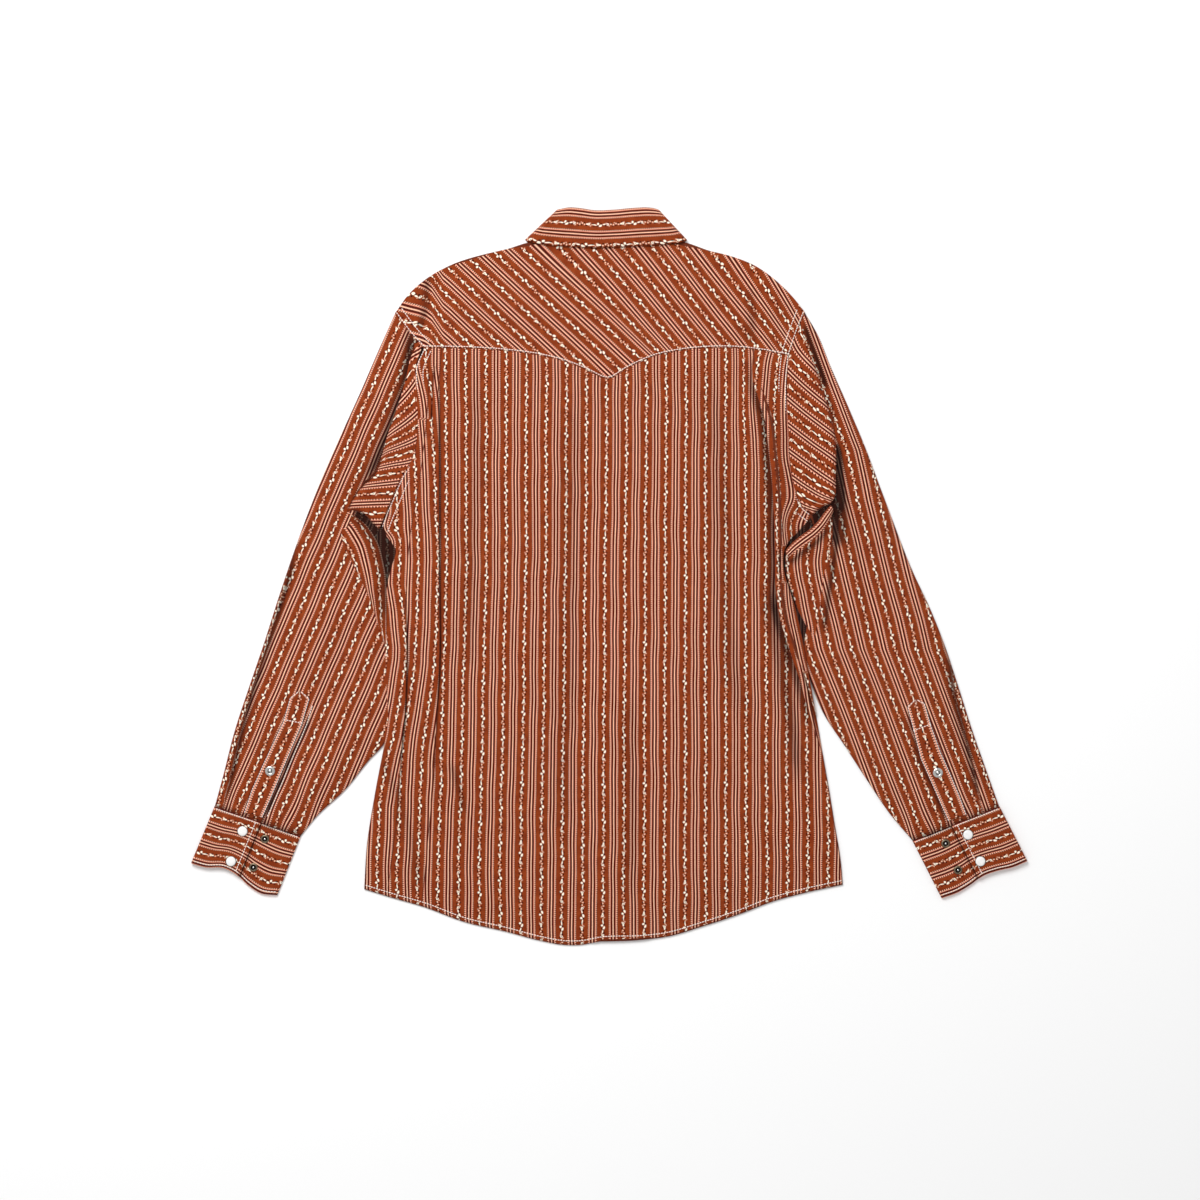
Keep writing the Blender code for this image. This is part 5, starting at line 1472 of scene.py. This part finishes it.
def stitches(path, height, pitch=STITCH_PITCH, radius=THREAD_RADIUS):
    """Beads along a path in plan: centres at even steps, each bead turned along the path and
    raised to the cloth; its height falls with the square of the way to its ends."""
    fine = smooth(path, np.linspace(0, 1, 500))
    run = running_length(fine)
    count = max(2, int(run[-1] / pitch))
    centre = (np.arange(count) + 0.5) * run[-1] / count
    half = 0.40 * run[-1] / count
    a = np.linspace(0, 2 * math.pi, BEAD_SIDES, endpoint=False)
    at = centre[:, None] + half * BEAD_RINGS[None]
    x, y = np.interp(at, run, fine[:, 0]), np.interp(at, run, fine[:, 1])
    x2, y2 = np.interp(at + 0.05, run, fine[:, 0]), np.interp(at + 0.05, run, fine[:, 1])
    length = np.hypot(x2 - x, y2 - y) + 1e-9
    nx, ny = -(y2 - y) / length, (x2 - x) / length
    z = height(x, y) + 0.12 - 0.3 * BEAD_RINGS[None]**2
    side, up = np.cos(a) * radius * 1.25, np.sin(a) * radius
    g = BEAD_GIRTH[None, :, None]
    points = stack(x[..., None] + nx[..., None] * side * g, y[..., None] + ny[..., None] * side * g,
                   z[..., None] + up * g)
    index = np.arange(points[..., 0].size).reshape(points.shape[:3])
    index = np.concatenate([index, index[:, :, :1]], axis=2)
    return points.reshape(-1, 3), quads(index)[:, [0, 3, 2, 1]]         # turned, so that they face out


def shifted(path, by):
    """A path moved sideways by some millimetres, to the left of its direction."""
    fine = smooth(path, np.linspace(0, 1, 60))
    ahead = np.gradient(fine, axis=0)
    ahead /= np.linalg.norm(ahead, axis=1)[:, None]
    return fine + by * np.column_stack([-ahead[:, 1], ahead[:, 0]])


def thread(name, seams):
    """All the stitches of one piece as one mesh."""
    points, faces, start = [], [], 0
    for path, height in seams:
        beads, bead_faces = stitches(path, height)
        points.append(beads)
        faces.append(bead_faces + start)
        start += len(beads)
    piece = mesh_object(name, np.vstack(points), np.vstack(faces), [THREAD])
    print(name, len(piece.data.polygons), "faces")
    return piece


# %% Stitches on the back and the yoke
FIRST_ROW, SECOND_ROW = 1.8, 9.2        # two rows beside a felled seam, mm from it
HEM_ROW = 5                             # mm from the hem


def double_row(edge, inward, height):
    """Two rows of stitches beside a seam; inward is +1 or -1, for the cloth's side of it."""
    return [(shifted(edge, inward * by), height) for by in (FIRST_ROW, SECOND_ROW)]


back_rows = [(shifted(HEM, HEM_ROW), body_height), *double_row(LEFT_EDGE[2:12], 1, body_height),
             *double_row(RIGHT_EDGE[2:10], -1, body_height)]
yoke_rows = [(shifted(YOKE_SEAM, FIRST_ROW), yoke_height), *double_row(LEFT_EDGE[:3], 1, yoke_height),
             *double_row(RIGHT_EDGE[:3], -1, yoke_height)]
threads = [(thread("stitches_back", back_rows), back), (thread("stitches_yoke", yoke_rows), yoke)]


# %% Stitches on the cuffs and the sleeve plackets
CUFF_TOP = CUFF_LEVELS[2] + CUFF_WALL / 2       # top of the lap, mm
CUFF_UNDER = CUFF_LEVELS[1] + CUFF_WALL / 2     # and of the layer under it, mm
NEAR_SEAM, NEAR_EDGE = 0.03, 0.95               # a cuff's two rows, as shares of its depth
TIP = 11                                        # rows of a placket up to the end of its point


def cuff_line(side, v_from, v_to, t_from, t_to):
    """A line on a cuff between two places, as shares of its depth and its width."""
    v = np.linspace(v_from, v_to, 20)[:, None]
    seam, free = cuff_edges(CUFFS[side], np.linspace(t_from, t_to, 20)[:, None])
    return seam * (1 - v) + free * v


def flat(level):
    """A height for stitches on a level piece, with its ripples."""
    return lambda x, y: level + 0.5 * ripples(x, y)


def cuff_rows(side):
    """Five lines: along both edges of the lap, across its end, and along the layer under it."""
    over = CUFFS[side].overlap
    return [(cuff_line(side, NEAR_SEAM, NEAR_SEAM, 0.02, over - 0.02), flat(CUFF_TOP + 0.3)),
            (cuff_line(side, NEAR_EDGE, NEAR_EDGE, 0.02, over - 0.02), flat(CUFF_TOP + 0.3)),
            (cuff_line(side, NEAR_SEAM, NEAR_EDGE, over - 0.055, over - 0.055), flat(CUFF_TOP + 0.4)),
            (cuff_line(side, NEAR_SEAM, NEAR_SEAM, over + 0.02, 0.98), flat(CUFF_UNDER + 0.3)),
            (cuff_line(side, NEAR_EDGE, NEAR_EDGE, over + 0.02, 0.98), flat(CUFF_UNDER + 0.3))]


def placket_rows(side):
    """Round the point, down both sides and once across.  On the left sleeve the opening also
    shows the edge of its underlap."""
    rows = straight(SLEEVE_PLACKETS[side], PLACKET_ROWS)
    slit, sewn = (rows[:, 0:2] * (1 - w) + rows[:, 2:4] * w for w in (0.06, 0.94))
    cross = np.linspace(rows[20, 0:2], rows[20, 2:4], 12)
    lines = [sewn[1:TIP + 1], sewn[TIP:], slit[1:TIP + 1], slit[TIP:], cross]
    lines = [(line, functools.partial(placket_height, side=side)) for line in lines]
    if side == "left":
        lines.append((rows[14:, 0:2] + (5.0, 1.5), functools.partial(sleeve_top, side=side)))
    return lines


for side, cuff, strip in (("left", cuff_left, placket_left), ("right", cuff_right, placket_right)):
    threads.append((thread("stitches_cuff_" + side, cuff_rows(side)), cuff))
    threads.append((thread("stitches_sleeve_placket_" + side, placket_rows(side)), strip))

# %% [markdown]
# ## Riding on the root
#
# The shirt is one body, so everything rides on "root".  Each cloth piece's surface is printed
# beside the size it was cut to before it was sewn, and the solid of the frame that it stands for is hidden.

# %% Cut sizes
# Width and length of the cut in metres, and its area where it is less than their product.
CLOTH = [
    (back, (0.545, 0.68), 0.335), (yoke, (0.47, 0.16), 0.052), (front_left, (0.26, 0.795), 0.172),
    (front_right, (0.28, 0.79), 0.176), (front_placket, (0.036, 0.705), None),
    (collar_leaf, (0.40, 0.045), None), (collar_stand, (0.335, 0.026), None),
    (sleeve_left, (0.40, 0.60), 0.175), (sleeve_right, (0.40, 0.60), 0.180),
    (placket_left, (0.024, 0.15), None), (placket_right, (0.024, 0.15), None),
    (cuff_left, (0.215, 0.072), None), (cuff_right, (0.215, 0.072), None),
]


def cloth_area(piece):
    """Area of the piece's surface before it gets its wall, in square metres."""
    return sum(face.area for face in piece.data.polygons)


for piece, (width, length), area in CLOTH:
    print(piece.name, "surface %.4f m2, flat %.4f" % (cloth_area(piece), area or width * length))

# %% Ride on the root, and hide the frame's solids
for piece, (width, length), area in CLOTH:
    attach(piece, "root")
    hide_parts(piece.name.removesuffix("_cloth"))
for piece, slot in snaps:
    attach(piece, "root")
    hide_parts(piece.name.removesuffix("_turned"))
for piece, cloth in threads:
    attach(piece, "root")
print(len(CLOTH), "pieces of cloth,", len(snaps), "snaps,", len(threads), "threads")
